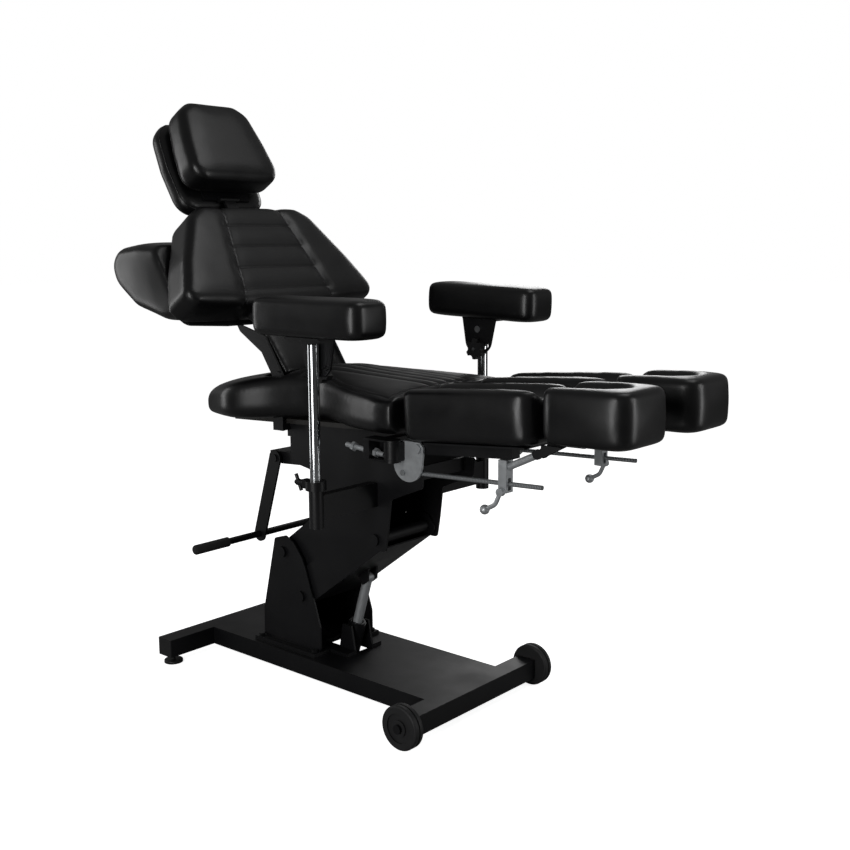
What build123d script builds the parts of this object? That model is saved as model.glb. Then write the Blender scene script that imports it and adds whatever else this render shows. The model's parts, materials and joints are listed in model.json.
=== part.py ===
from build123d import *
import os
from math import cos, hypot, radians, sin, sqrt, tan

# A tattoo chair on a wheeled base. A parallelogram lift carries the seat, two armrests,
# a reclining back with a headrest and a rear bolster, and two legs that swing out and fold down.
# X runs towards the foot end, Y to the far side and Z up from the floor. Places along X are
# measured from the rear face of the front tube, and save() moves them to the part's origin.

# Placement and fits
origin_to_front_tube = 216.6
fit_gap = 0.05
face_gap = 0.3
soft_gap = 0.3
overrun = 4.0

# Base
base_length = 857.0
base_clearance = 24.0
tube_width = 54.0
tube_height = 50.0
tube_wall = 3.0
rear_tube_length = 578.0
front_tube_length = 480.0
channel_width = 280.0
channel_wall = 4.0
cap_thickness = 3.0
cap_plug_length = 12.0
wheel_radius = 54.0
wheel_width = 29.0
wheel_axle_x = 34.0
wheel_spacer = 3.0
wheel_groove_width = 4.0
wheel_groove_depth = 3.0
wheel_edge_radius = 5.0
hub_ring_outer = 36.0
hub_ring_inner = 20.0
hub_ring_depth = 4.0
wheel_bolt_radius = 6.0
wheel_bolt_head_radius = 11.0
wheel_bolt_head_height = 7.0
wheel_bolt_grip = 14.0
level_foot_y = 264.0
level_foot_radius = 26.0
level_foot_height = 8.0
level_stud_radius = 5.0
level_stud_height = 58.0
level_nut_radius = 9.0
level_nut_height = 8.0
level_edge_radius = 2.5

# Column
column_rear_x = -626.0
column_width = 226.0
column_height = 299.0
column_half_width = 101.0
plate_thickness = 5.0
column_corner_radius = 10.0
column_outline_shares = [
    (0.0, 0.0), (0.009, 0.261), (0.235, 0.957), (0.425, 1.0), (0.566, 0.953),
    (0.699, 0.833), (0.761, 0.742), (0.832, 0.585), (0.916, 0.415), (0.996, 0.224), (1.0, 0.0),
]
web_inset = 1.5
web_outline_shares = [(0.0, 0.0), (0.009, 0.261), (0.228, 0.92)]
foot_plate_thickness = 10.0
foot_plate_half_width = 125.0
foot_plate_margin = 12.0
foot_bolt_inset = 14.0
bolt_radius = 5.0
bolt_head_radius = 8.5
bolt_head_height = 6.5
bolt_grip = 16.0
bolt_hole_gap = 0.5

# Lift arms and their pins
lift_angle = 36.4
arm_length = 345.0
lower_pivot_x = -473.5
lower_pivot_z = 224.0
pivot_step_x = -69.5
pivot_step_z = 112.0
arm_wall = 4.0
lower_arm_half_width = 93.0
lower_arm_below = 30.0
lower_arm_above = 59.0
lower_arm_end = 28.0
lower_arm_nose = 20.0
upper_arm_half_width = 87.5
upper_arm_above = 24.0
upper_arm_below = 73.0
upper_arm_end = 24.0
upper_arm_taper = 45.0
arm_corner_radius = 18.0
pivot_tube_radius = 16.0
pin_radius = 10.0
pin_head_radius = 15.0
pin_head_thickness = 6.0

# Cylinder and ram
trunnion_x = -366.0
trunnion_z = 134.0
trunnion_radius = 8.0
trunnion_length = 8.0
cylinder_radius = 24.0
cylinder_below = 105.0
cylinder_above = 18.0
cylinder_bottom = 5.0
gland_radius = 21.0
gland_height = 4.0
ram_radius = 13.0
ram_play = 3.4
ram_length = 185.0
ram_eye_along = 159.5
ram_eye_below = 43.8
ram_eye_radius = 12.5
ram_eye_half_width = 12.0
ram_pin_radius = 6.0
clevis_gap = 1.0
clevis_thickness = 6.0
clevis_base_front = 34.0
clevis_base_rear = 12.0
cradle_cheek_thickness = 6.0
cradle_gap = 2.0
cradle_half_length = 30.0
cradle_top_radius = 16.0
window_half_width = 28.5
window_rear_reach = 92.0
window_front_reach = 20.0

# Carriage
carriage_rear_x = -585.0
carriage_low_z = 402.0
carriage_length = 552.0
carriage_height = 226.0
carriage_corner_radius = 9.0
carriage_outline_shares = [
    (0.0, 0.801), (0.0, 0.907), (1.0, 1.0), (0.991, 0.792), (0.806, 0.602), (0.788, 0.261),
    (0.77, 0.0), (0.639, 0.0), (0.585, 0.208), (0.283, 0.783), (0.221, 0.81), (0.092, 0.792),
]
front_tie_inset = 40.0
front_tie_height = 34.0
rear_tie_radius = 9.0
bar_pivot_x = -550.0
bar_pivot_z = 596.0
bar_pin_head_radius = 10.0
bar_pin_radius = 5.0

# Control bar
bar_gap = 0.5
bar_offset = 7.0
bar_strut_thickness = 6.0
bar_strut_half_width = 21.0
bar_cross_x = -620.0
bar_cross_z = 376.0
bar_cross_radius = 9.0
bar_near_end = 330.0
bar_far_end = 125.0
grip_length = 105.0
grip_radius = 13.0
grip_end_cover = 6.0
grip_edge_radius = 6.0

# Seat cushion, board and frame
seat_rear_x = -860.0
seat_length = 850.0
seat_low_z = 693.0
seat_depth = 157.0
seat_rise = 33.4
seat_half_width = 244.0
seat_corner_share = 0.36
seat_crown_share = 0.05
seat_draw = 4.0
seat_front_radius = 12.0
# Along, half width and crown, each as a share of the cushion's size
seat_station_shares = [
    (0.002, 0.197, 0.151), (0.026, 0.393, 0.316), (0.07, 0.566, 0.461), (0.13, 0.689, 0.599),
    (0.2, 0.795, 0.704), (0.283, 0.857, 0.783), (0.353, 0.758, 0.849), (0.423, 0.639, 0.914),
    (0.494, 0.566, 0.967), (0.571, 0.516, 1.0), (0.647, 0.598, 0.98), (0.717, 0.73, 0.954),
    (0.8, 0.852, 0.934), (0.883, 0.939, 0.914), (0.964, 0.996, 0.895), (1.0, 0.99, 0.88),
]
seat_channel_shares = [-0.3, -0.15, 0.0, 0.15, 0.3]
seat_channel_from_share = 0.49
seat_channel_width = 3.0
seat_channel_depth = 3.5
board_thickness = 12.0
board_half_width = 112.0
board_front_inset = 26.0
board_rear_inset = 150.0
rail_width = 30.0
rail_height = 36.0
rail_half_gap = 71.0
rail_rear_x = -510.0
rail_front_x = -59.0
lug_tie_depth = 18.0
riser_rear_x = -500.0
riser_length = 405.0
knee_tube_width = 36.0
knee_tube_half_length = 206.0
shelf_rear_x = -581.0
shelf_length = 107.0
shelf_thickness = 5.0

# Armrests
arm_y = 298.0
arm_x = -197.0
sleeve_radius = 17.5
sleeve_low_z = 498.0
sleeve_height = 92.0
box_arm_thickness = 25.0
box_arm_low_z = 516.0
box_arm_height = 61.0
post_radius = 13.5
post_low_z = 503.0
collar_radius = 25.0
collar_height = 22.0
collar_screw_radius = 5.0
collar_screw_reach = 30.0
collar_ear_length = 14.0
collar_ear_width = 16.0
t_handle_radius = 4.5
t_handle_length = 42.0
t_handle_lean = 65.0
t_hub_radius = 8.0
t_hub_length = 24.0
post_to_pivot = 417.0
post_top_over_pivot = 12.0
far_arm_raise = 14.0
far_arm_forward = 30.0
far_arm_tilt = 2.0
tilt_plate_thickness = 5.0
tilt_plate_width = 112.0
tilt_plate_flange_width = 56.0
tilt_plate_below_pivot = 64.0
tilt_plate_foot_share = 0.67
tilt_pad_over_pivot = 30.0
tilt_slot_radius = 52.0
tilt_slot_half_width = 5.2
tilt_slot_half_angle = 36.0
tilt_corner_radius = 34.0
tilt_stud_radius = 4.6
tilt_bolt_radius = 5.0
tilt_bolt_head_radius = 9.0
tilt_bolt_head_height = 5.0
knob_radius = 28.0
knob_thickness = 18.0
knob_lobe_angles = [0, 60, 120, 180, 240, 300]
knob_scallop_share = 0.34
knob_scallop_reach_share = 1.1
arm_pad_length = 360.0
arm_pad_width = 125.0
arm_pad_height = 90.0
arm_pad_x = 17.5
arm_pad_corner = 34.0
arm_pad_edge = 20.0
pad_taper = 2.0

# Back
back_recline = 33.8
neck_x = -500.5
neck_z = 824.5
back_height = 515.0
back_half_width = 342.0
back_thickness = 70.0
back_proud = 38.0
back_edge_radius = 24.0
neck_thickness = 40.0
neck_edge_radius = 12.0
# Across and up, as shares of the half width and the height, for one half of the outline
back_outline_shares = [
    (0.5, 0.385), (0.93, 0.405), (1.0, 0.47), (0.86, 0.68), (0.64, 0.94), (0.5, 1.0),
]
back_corner_shares = [0.06, 0.065, 0.06, 0.1, 0.08, 0.06]
neck_outline_shares = [(0.3, 0.0), (0.335, 0.25), (0.335, 0.5)]
back_seam_bottom_share = 0.46
back_seam_top_share = 0.29
back_seam_rise_shares = (0.4, 0.98)
back_channel_rise_shares = [0.47, 0.6, 0.73, 0.86]
back_groove_width = 3.5
back_groove_depth = 5.0
trough_gap = 1.0
trough_reach = 105.0
back_recline_down = 25.0
back_recline_up = 25.0
back_board_thickness = 10.0
back_board_inset_share = 0.9
back_arm_gap = 0.5
back_arm_thickness = 6.0
back_arm_half_width = 18.0
back_arm_under = 2.3
back_arm_slope = 76.0
back_arm_grip = 37.0
back_arm_heel = 18.0
back_arm_throat = 30.0
back_pin_radius = 7.0
back_lug_thickness = 6.0
back_lug_half_width = 19.0
lug_pocket_gap = 1.5
lug_pocket_rear = 86.0

# Rear bolster, its profile as shares of its length and height
bolster_front_x = -688.0
bolster_low_z = 965.0
bolster_length = 349.0
bolster_height = 190.0
bolster_half_width = 285.0
bolster_profile_shares = [
    (0.0, 0.05), (-0.3, -0.03), (-0.68, 0.14), (-0.93, 0.45), (-1.0, 0.75), (-0.9, 1.0), (-0.6, 1.06),
    (-0.3, 1.04),
]
bolster_corner_radius = 50.0
bolster_end_radius = 34.0

# Headrest
head_tilt = 30.0
head_over_back = 65.1
head_forward = 59.2
head_height = 258.0
head_pad_thickness = 93.0
head_plate_thickness = 6.0
head_rear_thickness = 60.0
head_rear_drop = 40.0
head_rear_top = 250.0
head_half_width = 161.0
head_outline_shares = [(1.0, 0.0), (0.9, 0.5), (0.77, 0.88), (0.5, 1.0)]
head_rear_outline_shares = [(0.94, 0.0), (0.97, 0.5), (0.89, 0.87), (0.66, 1.0)]
head_corner_shares = [0.2, 0.3, 0.2, 0.14]
head_edge_radius = 26.0
head_bar_width = 40.0
head_bar_thickness = 8.0
head_barrel_radius = 8.0
head_barrel_half = 34.0
head_barrel_gap = 0.3
head_pin_radius = 4.0
head_hinge_below = 12.0
head_hinge_behind = 89.0
head_bar_length = 176.0
head_guide_length = 135.0
head_guide_width = 58.0
head_guide_wall = 5.0
head_guide_drop = 3.0

# Legs, written for the near side
leg_tilt = 4.2
calf_x = 0.0
calf_low_z = 716.0
calf_length = 372.0
calf_height = 122.0
leg_inner_y = 45.0
leg_width = 190.0
leg_corner = 44.0
leg_edge = 20.0
gutter_radius = 66.0
gutter_depth = 30.0
foot_tilt = 1.2
foot_gap = 4.0
foot_length = 222.0
foot_low_z = 752.0
foot_height = 122.0
foot_rim_length = 44.0
splay_x = -22.0
splay_y = 222.0
knee_x = 38.0
knee_z = 702.0
knee_block_radius = 20.0
knee_block_height = 42.0
knee_block_low_z = 672.0
knee_block_inner_y = 202.0
knee_fork_thickness = 4.5
knee_pin_radius = 7.0
knee_pin_head = 3.0
quadrant_thickness = 6.0
quadrant_lobe_radius = 43.0
quadrant_lobe_x = 6.0
quadrant_lobe_z = 664.0
quadrant_front_x = 54.0
quadrant_top_z = 716.0
quadrant_chamfer_x = 44.0
quadrant_chamfer_z = 704.0
quadrant_rear_x = -42.0
quadrant_step_x = -10.0
quadrant_arm_z = 697.0
stop_rear_x = -168.0
stop_rear_z = 692.0
stop_front_x = -47.0
stop_front_z = 681.0
stop_radius = 6.0
stop_nut_radius = 11.0
stop_nut_length = 9.0
stop_nut_shares = [0.16, 0.52, 0.76]
knee_bolt_radius = 6.0
knee_bolt_head_radius = 10.0
knee_bolt_head = 5.0
leg_plate_thickness = 4.0
leg_plate_width = 150.0
leg_plate_inset = 30.0
leg_plate_start = 66.0
leg_rail_width = 28.0
leg_rail_height = 26.0
leg_rail_gap = 2.0
leg_rail_nose = 13.0
leg_rail_past_clamp = 8.0
rod_x = -8.0
rod_z = 641.0
rod_rise = 2.3
rod_radius = 5.2
rod_eye_radius = 10.0
rod_eye_width = 11.0
rod_pin_radius = 4.0
rod_pin_head_radius = 7.0
rod_pin_head = 3.0
clamp_share = 0.742
clamp_half_length = 11.0
clamp_half_width = 12.0
clamp_wall = 5.0
clamp_slot_half_height = 13.4
clamp_slot_play = 0.5
lever_hub_radius = 9.0
lever_hub_width = 11.0
lever_screw_radius = 4.0
lever_bar_radius = 5.0
lever_bend_radius = 22.0
lever_ball_radius = 11.0
lever_reach_x = -42.0
lever_reach_z = -44.0
lever_bend_x_share = 0.33
lever_bend_z_share = 0.67
link_tube_radius = 8.0
link_start_z = 697.0
link_end_inset = 6.0
link_end_z = 728.0
bracket_plate_length = 92.0
bracket_plate_width = 84.0
bracket_thickness = 5.0
bracket_barrel_radius = 11.0
bracket_cheek = 6.0
bracket_pin_radius = 5.0
bracket_heel_share = 0.8


# Helpers


def save(name, shape):
    """Write one piece in its place relative to the part's origin."""
    export_step(Pos(origin_to_front_tube, 0, 0) * shape, os.path.join("parts", name + ".step"))


def block(x_low, x_high, y_low, y_high, z_low, z_high):
    """A box between two corners."""
    size = (x_high - x_low, y_high - y_low, z_high - z_low)
    return Pos(x_low, y_low, z_low) * Box(*size, align=(Align.MIN, Align.MIN, Align.MIN))


def rod(start, end, radius):
    """A round bar from one point to another."""
    axis = Vector(*end) - Vector(*start)
    seat = (Align.CENTER, Align.CENTER, Align.MIN)
    return Plane(origin=start, z_dir=axis) * Cylinder(radius, axis.length, align=seat)


def cross_rod(x, z, y_low, y_high, radius):
    """A round bar across the chair."""
    return rod((x, y_low, z), (x, y_high, z), radius)


def plate(points, y_low, y_high, radius):
    """A flat plate in the XZ plane whose corners share one radius."""
    face = make_face(FilletPolyline(*points, radius=radius, close=True))
    return Pos(0, y_high, 0) * (Plane.XZ * extrude(face, amount=y_high - y_low))


def sharp_plate(points, y_low, y_high):
    """A flat plate in the XZ plane with sharp corners."""
    face = make_face(Polyline(*points, close=True))
    return Pos(0, y_high, 0) * (Plane.XZ * extrude(face, amount=y_high - y_low))


def spread(shares, x_start, width, z_start, height):
    """Turn shares of a width and a height into points."""
    return [(x_start + width * u, z_start + height * v) for u, v in shares]


def turned(origin, angle, along, across):
    """The point at a distance along and across a direction in the XZ plane."""
    x = origin[0] + along * cos(radians(angle)) - across * sin(radians(angle))
    z = origin[1] + along * sin(radians(angle)) + across * cos(radians(angle))
    return (x, z)


def far(shape):
    """The mirror image on the far side."""
    return mirror(shape, about=Plane.XZ)


def both(shape):
    """A piece and its mirror image, as two solids."""
    return shape + far(shape)


def hex_bolt_down(x, y, z):
    """A bolt whose head sits on a flat face at z."""
    head = Pos(x, y, z) * extrude(RegularPolygon(bolt_head_radius, 6), amount=bolt_head_height)
    return head + rod((x, y, z - bolt_grip), (x, y, z), bolt_radius)


def bolt_hole_down(x, y, z):
    """The hole for such a bolt."""
    return rod((x, y, z - bolt_grip - overrun), (x, y, z + overrun), bolt_radius + bolt_hole_gap)


def pad_block(length, width, height, corner, edge):
    """A pad with rounded corners whose sides draw in towards its top and its underside."""
    plan = RectangleRounded(length, width, corner)
    upper = extrude(plan, amount=height / 2, taper=pad_taper)
    body = upper + mirror(upper, about=Plane.XY)
    rims = body.edges().group_by(Axis.Z)
    return fillet(rims[0] + rims[-1], edge)


# Base

tube_mid_z = base_clearance + tube_height / 2
base_top_z = base_clearance + tube_height
rear_tube_x = -base_length + tube_width / 2
front_tube_mid_x = tube_width / 2
tube_half_inner = tube_width / 2 - tube_wall
front_tube_half = front_tube_length / 2
wheel_inner_y = front_tube_half + wheel_spacer
column_foot_z = base_top_z + foot_plate_thickness
column_inner = column_half_width - plate_thickness
column_front_x = column_rear_x + column_width


def cross_tube(x, length):
    """A rectangular tube across the chair."""
    inner = (tube_width - tube_wall * 2, length + overrun, tube_height - tube_wall * 2)
    return Pos(x, 0, tube_mid_z) * (Box(tube_width, length, tube_height) - Box(*inner))


def rear_tube():
    """The tube at the head end, with holes for the levelling studs."""
    tube = cross_tube(rear_tube_x, rear_tube_length)
    for side in (-1, 1):
        y = side * level_foot_y
        tube -= rod((rear_tube_x, y, 0), (rear_tube_x, y, tube_mid_z), level_stud_radius + fit_gap)
    return tube


def tube_caps():
    """Plastic caps in the rear tube's ends."""
    end = rear_tube_length / 2
    width = tube_width / 2
    height = tube_height / 2
    cover = block(rear_tube_x - width, rear_tube_x + width, -end - cap_thickness, -end,
                  tube_mid_z - height, tube_mid_z + height)
    plug_x = tube_half_inner - face_gap
    plug_z = height - tube_wall - face_gap
    plug = block(rear_tube_x - plug_x, rear_tube_x + plug_x, -end, -end + cap_plug_length,
                 tube_mid_z - plug_z, tube_mid_z + plug_z)
    return both(cover + plug)


def front_tube():
    """The tube at the foot end, closed by plates that take the wheel bolts."""
    tube = cross_tube(front_tube_mid_x, front_tube_length)
    for side in (-1, 1):
        outer = side * front_tube_half
        inner = outer - side * tube_wall
        low_y = min(outer, inner)
        tube += block(0, tube_width, low_y, low_y + tube_wall, base_clearance, base_top_z)
        boss_end = side * wheel_inner_y
        tube += cross_rod(wheel_axle_x, wheel_radius, outer, boss_end, wheel_bolt_head_radius)
    reach = wheel_inner_y + overrun
    hole = wheel_bolt_radius + fit_gap
    for side in (-1, 1):
        tube -= cross_rod(wheel_axle_x, wheel_radius, side * (reach - wheel_bolt_grip * 2),
                          side * reach, hole)
    return tube


def base_channel():
    """The wide channel between the tubes, open below, with a window for the cylinder."""
    half = channel_width / 2
    rear = -base_length + tube_width
    outer = block(rear, 0, -half, half, base_clearance, base_top_z)
    inner = block(rear - overrun, overrun, -half + channel_wall, half - channel_wall,
                  base_clearance - overrun, base_top_z - channel_wall)
    window = cylinder_window(base_clearance, base_top_z + overrun)
    channel = outer - inner - window
    for x, y in foot_bolt_places():
        channel -= bolt_hole_down(x, y, column_foot_z)
    return channel


def cylinder_window(z_low, z_high):
    """The opening through which the cylinder's lower end swings."""
    return block(trunnion_x - window_rear_reach, trunnion_x + window_front_reach,
                 -window_half_width, window_half_width, z_low, z_high)


def wheel():
    """The near wheel: two rims with a groove between them and a ring in its outer face."""
    y_inner = -wheel_inner_y - face_gap
    y_outer = y_inner - wheel_width
    disc = cross_rod(wheel_axle_x, wheel_radius, y_outer, y_inner, wheel_radius)
    rims = disc.edges().group_by(Axis.Y)
    disc = fillet(rims[0] + rims[-1], wheel_edge_radius)
    mid = (y_inner + y_outer) / 2
    half = wheel_groove_width / 2
    groove = cross_rod(wheel_axle_x, wheel_radius, mid - half, mid + half, wheel_radius + overrun)
    groove -= cross_rod(wheel_axle_x, wheel_radius, mid - half, mid + half,
                        wheel_radius - wheel_groove_depth)
    ring_y = y_outer + hub_ring_depth
    ring = cross_rod(wheel_axle_x, wheel_radius, y_outer - overrun, ring_y, hub_ring_outer)
    ring -= cross_rod(wheel_axle_x, wheel_radius, y_outer - overrun, ring_y, hub_ring_inner)
    bore = cross_rod(wheel_axle_x, wheel_radius, y_outer - overrun, y_inner + overrun,
                     wheel_bolt_radius + fit_gap)
    return disc - groove - ring - bore


def wheel_bolt():
    """The near wheel's bolt, its head clear of the turning face."""
    face = -wheel_inner_y - wheel_width - face_gap * 2
    head = rod((wheel_axle_x, face - wheel_bolt_head_height, wheel_radius),
               (wheel_axle_x, face, wheel_radius), wheel_bolt_head_radius)
    shank = cross_rod(wheel_axle_x, wheel_radius, face, -wheel_inner_y + wheel_bolt_grip,
                      wheel_bolt_radius)
    return head + shank


def level_foot():
    """The near levelling foot: a disc on a threaded stud with a lock nut."""
    disc = rod((rear_tube_x, -level_foot_y, 0), (rear_tube_x, -level_foot_y, level_foot_height),
               level_foot_radius)
    disc = fillet(disc.edges().group_by(Axis.Z)[-1], level_edge_radius)
    stud = rod((rear_tube_x, -level_foot_y, 0), (rear_tube_x, -level_foot_y, level_stud_height),
               level_stud_radius)
    nut_z = base_clearance - face_gap - level_nut_height
    nut = Pos(rear_tube_x, -level_foot_y, nut_z) * extrude(
        RegularPolygon(level_nut_radius, 6), amount=level_nut_height)
    return disc + stud + nut


# Column

lower_pivot = (lower_pivot_x, lower_pivot_z)
upper_pivot = (lower_pivot_x + pivot_step_x, lower_pivot_z + pivot_step_z)
cheek_inner_y = cylinder_radius + trunnion_length - cradle_gap


def foot_bolt_places():
    """Where the column's foot plate is bolted to the channel."""
    y = foot_plate_half_width - foot_bolt_inset
    rear = column_rear_x - foot_plate_margin + foot_bolt_inset
    front = column_front_x - foot_bolt_inset
    return [(x, side * y) for x in (rear, front) for side in (-1, 1)]


def column():
    """Two side plates and a web on a foot plate, with cheeks that carry the trunnions."""
    points = spread(column_outline_shares, column_rear_x, column_width, column_foot_z, column_height)
    side = plate(points, column_inner, column_half_width, column_corner_radius)
    side -= cross_rod(*lower_pivot, column_inner - overrun, column_half_width + overrun,
                      pin_radius + fit_gap)
    side -= cross_rod(*upper_pivot, column_inner - overrun, column_half_width + overrun,
                      pin_radius + fit_gap)
    body = side + far(side)
    web = spread(web_outline_shares, column_rear_x + web_inset, column_width, column_foot_z,
                 column_height)
    web += [(x + plate_thickness, z) for x, z in reversed(web)]
    body += sharp_plate(web, -column_inner, column_inner)
    foot = block(column_rear_x - foot_plate_margin, column_front_x, -foot_plate_half_width,
                 foot_plate_half_width, base_top_z, column_foot_z)
    for x, y in foot_bolt_places():
        foot -= bolt_hole_down(x, y, column_foot_z)
    cheek = cradle_cheek()
    return body + foot + cheek + far(cheek) - cylinder_window(base_top_z, column_foot_z + overrun)


def cradle_cheek():
    """The cradle's far cheek, standing on a foot on the channel."""
    low = cheek_inner_y
    high = low + cradle_cheek_thickness
    base = block(column_front_x - overrun, trunnion_x + cradle_half_length, low, high + cradle_half_length,
                 base_top_z, column_foot_z)
    top = trunnion_z + cradle_top_radius
    points = [(trunnion_x - cradle_half_length, base_top_z), (trunnion_x - cradle_top_radius, top),
              (trunnion_x + cradle_top_radius, top), (trunnion_x + cradle_half_length, base_top_z)]
    cheek = sharp_plate(points, low, high) + base
    return cheek - cross_rod(trunnion_x, trunnion_z, 0, high + overrun, trunnion_radius + fit_gap)


def pin_across(x, z):
    """A pin through both side plates, with a head outside each."""
    reach = column_half_width
    head = reach + pin_head_thickness
    pin = cross_rod(x, z, -reach, reach, pin_radius)
    pin += cross_rod(x, z, -head, -reach, pin_head_radius)
    return pin + cross_rod(x, z, reach, head, pin_head_radius)


def column_pins():
    """The two pins that carry the lift arms on the column."""
    return pin_across(*lower_pivot) + pin_across(*upper_pivot)


def base_bolts():
    """The column's foot bolts and the wheel bolts."""
    bolts = both(wheel_bolt())
    for x, y in foot_bolt_places():
        bolts += hex_bolt_down(x, y, column_foot_z)
    return bolts


# Lift

lower_end = turned(lower_pivot, lift_angle, arm_length, 0)
upper_end = turned(upper_pivot, lift_angle, arm_length, 0)
ram_eye = turned(lower_pivot, lift_angle, ram_eye_along, -ram_eye_below)
ram_run = (ram_eye[0] - trunnion_x, ram_eye[1] - trunnion_z)
ram_distance = hypot(*ram_run)


def arm_points(pivot, corners):
    """Corner points of an arm's side, from places along and across the arm."""
    return [turned(pivot, lift_angle, along, across) for along, across in corners]


def pivot_tubes(arm, pivot):
    """Add the tubes that the pins pass through, and bore them."""
    reach = column_inner - face_gap
    ends = (pivot, turned(pivot, lift_angle, arm_length, 0))
    for x, z in ends:
        arm += cross_rod(x, z, -reach, reach, pivot_tube_radius)
    for x, z in ends:
        arm -= cross_rod(x, z, -reach - overrun, reach + overrun, pin_radius + fit_gap)
    return arm


def channel_arm(pivot, outline, cover, half_width):
    """Two side plates and one cover plate between them."""
    inner = half_width - arm_wall
    side = plate(arm_points(pivot, outline), inner, half_width, arm_corner_radius)
    web = sharp_plate(arm_points(pivot, cover), -inner, inner)
    return side + far(side) + web


def lower_arm():
    """The lower arm: a channel open above, with ears for the ram below it."""
    low = -lower_arm_below
    high = lower_arm_above
    tip = arm_length + lower_arm_end
    outline = [(-lower_arm_end, low), (tip, low), (tip, lower_arm_nose),
               (arm_length - lower_arm_nose, high), (high, high), (-lower_arm_end, lower_arm_nose)]
    cover = [(arm_corner_radius, low), (arm_length, low), (arm_length, low + arm_wall),
             (arm_corner_radius, low + arm_wall)]
    arm = channel_arm(lower_pivot, outline, cover, lower_arm_half_width)
    return pivot_tubes(arm, lower_pivot) + ram_ears()


def ram_ears():
    """Ears under the lower arm that hold the ram's eye, with the pin."""
    low = ram_eye_half_width + clevis_gap
    high = low + clevis_thickness
    tip = -ram_eye_below - ram_eye_radius
    corners = [(ram_eye_along - clevis_base_rear, -lower_arm_below),
               (ram_eye_along - clevis_base_rear, tip),
               (ram_eye_along + clevis_base_rear, tip),
               (ram_eye_along + clevis_base_front, -lower_arm_below)]
    ear = sharp_plate(arm_points(lower_pivot, corners), low, high)
    return ear + far(ear) + cross_rod(*ram_eye, -high, high, ram_pin_radius)


def upper_arm():
    """The upper arm: a channel open below that nests in the lower one."""
    low = -upper_arm_below
    high = upper_arm_above
    tip = arm_length + upper_arm_end
    outline = [(-upper_arm_end, high), (-upper_arm_end, -upper_arm_end), (upper_arm_taper, low),
               (arm_length - upper_arm_taper, low), (tip, -upper_arm_end), (tip, high)]
    cover = [(0, high), (arm_length, high), (arm_length, high - arm_wall), (0, high - arm_wall)]
    arm = channel_arm(upper_pivot, outline, cover, upper_arm_half_width)
    return pivot_tubes(arm, upper_pivot)


def on_ram(distance):
    """A point on the ram's axis at a distance from the trunnions."""
    share = distance / ram_distance
    return (trunnion_x + ram_run[0] * share, 0, trunnion_z + ram_run[1] * share)


def lift_cylinder():
    """The cylinder with its bore, its gland and its two trunnions."""
    body = rod(on_ram(-cylinder_below), on_ram(cylinder_above), cylinder_radius)
    body += rod(on_ram(cylinder_above), on_ram(cylinder_above + gland_height), gland_radius)
    reach = cheek_inner_y + cradle_cheek_thickness
    body += cross_rod(trunnion_x, trunnion_z, -reach, reach, trunnion_radius)
    bore_start = on_ram(cylinder_bottom - cylinder_below)
    bore_end = on_ram(cylinder_above + gland_height + overrun)
    return body - rod(bore_start, bore_end, ram_radius + ram_play)


def lift_ram():
    """The ram, with the eye at its upper end."""
    bar = rod(on_ram(ram_distance - ram_length), on_ram(ram_distance - ram_pin_radius), ram_radius)
    bar += cross_rod(*ram_eye, -ram_eye_half_width, ram_eye_half_width, ram_eye_radius)
    reach = ram_eye_half_width + overrun
    return bar - cross_rod(*ram_eye, -reach, reach, ram_pin_radius + fit_gap)


# Carriage

carriage_front_x = carriage_rear_x + carriage_length
carriage_top_z = carriage_low_z + carriage_height
carriage_rear_top_z = carriage_low_z + carriage_height * carriage_outline_shares[1][1]


def carriage_top(x):
    """Height of the side plates' top edge."""
    rise = carriage_top_z - carriage_rear_top_z
    return carriage_rear_top_z + rise * (x - carriage_rear_x) / carriage_length


def carriage():
    """Two side plates joined by ties, with the arm pins and the pins of the control bar."""
    points = spread(carriage_outline_shares, carriage_rear_x, carriage_length, carriage_low_z,
                    carriage_height)
    side = plate(points, column_inner, column_half_width, carriage_corner_radius)
    body = side + far(side)
    tie_x = carriage_front_x - front_tie_inset
    tie_top = carriage_top(tie_x) - face_gap
    body += block(tie_x, tie_x + plate_thickness, -column_inner, column_inner,
                  tie_top - front_tie_height, tie_top)
    body += cross_rod(bar_pivot_x, bar_pivot_z, -column_inner, column_inner, rear_tie_radius)
    for x, z in (lower_end, upper_end):
        body += pin_across(x, z)
    return body + bar_pin() + far(bar_pin())


def bar_pin():
    """A short pin that carries one strut of the control bar on the far side."""
    outer = column_half_width + bar_offset + bar_strut_thickness + bar_gap
    pin = cross_rod(bar_pivot_x, bar_pivot_z, column_inner, outer, bar_pin_radius)
    head = cross_rod(bar_pivot_x, bar_pivot_z, outer, outer + pin_head_thickness / 2,
                     bar_pin_head_radius)
    return pin + head


def control_bar():
    """Two struts and the cross bar that joins them behind the column."""
    low = column_half_width + bar_offset
    high = low + bar_strut_thickness
    run = Vector(bar_cross_x - bar_pivot_x, 0, bar_cross_z - bar_pivot_z)
    side = run.normalized().cross(Vector(0, 1, 0)) * bar_strut_half_width
    top = (bar_pivot_x, bar_pivot_z)
    foot = (bar_cross_x, bar_cross_z)
    points = [(top[0] + side.X, top[1] + side.Z), (top[0] - side.X, top[1] - side.Z),
              (foot[0] - side.X, foot[1] - side.Z), (foot[0] + side.X, foot[1] + side.Z)]
    strut = sharp_plate(points, low, high)
    strut += cross_rod(*top, low, high, bar_strut_half_width)
    strut += cross_rod(*foot, low, high, bar_strut_half_width)
    strut -= cross_rod(*top, low - overrun, high + overrun, bar_pin_radius + fit_gap)
    cross = cross_rod(*foot, -bar_near_end, bar_far_end, bar_cross_radius)
    return strut + far(strut) + cross


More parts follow.
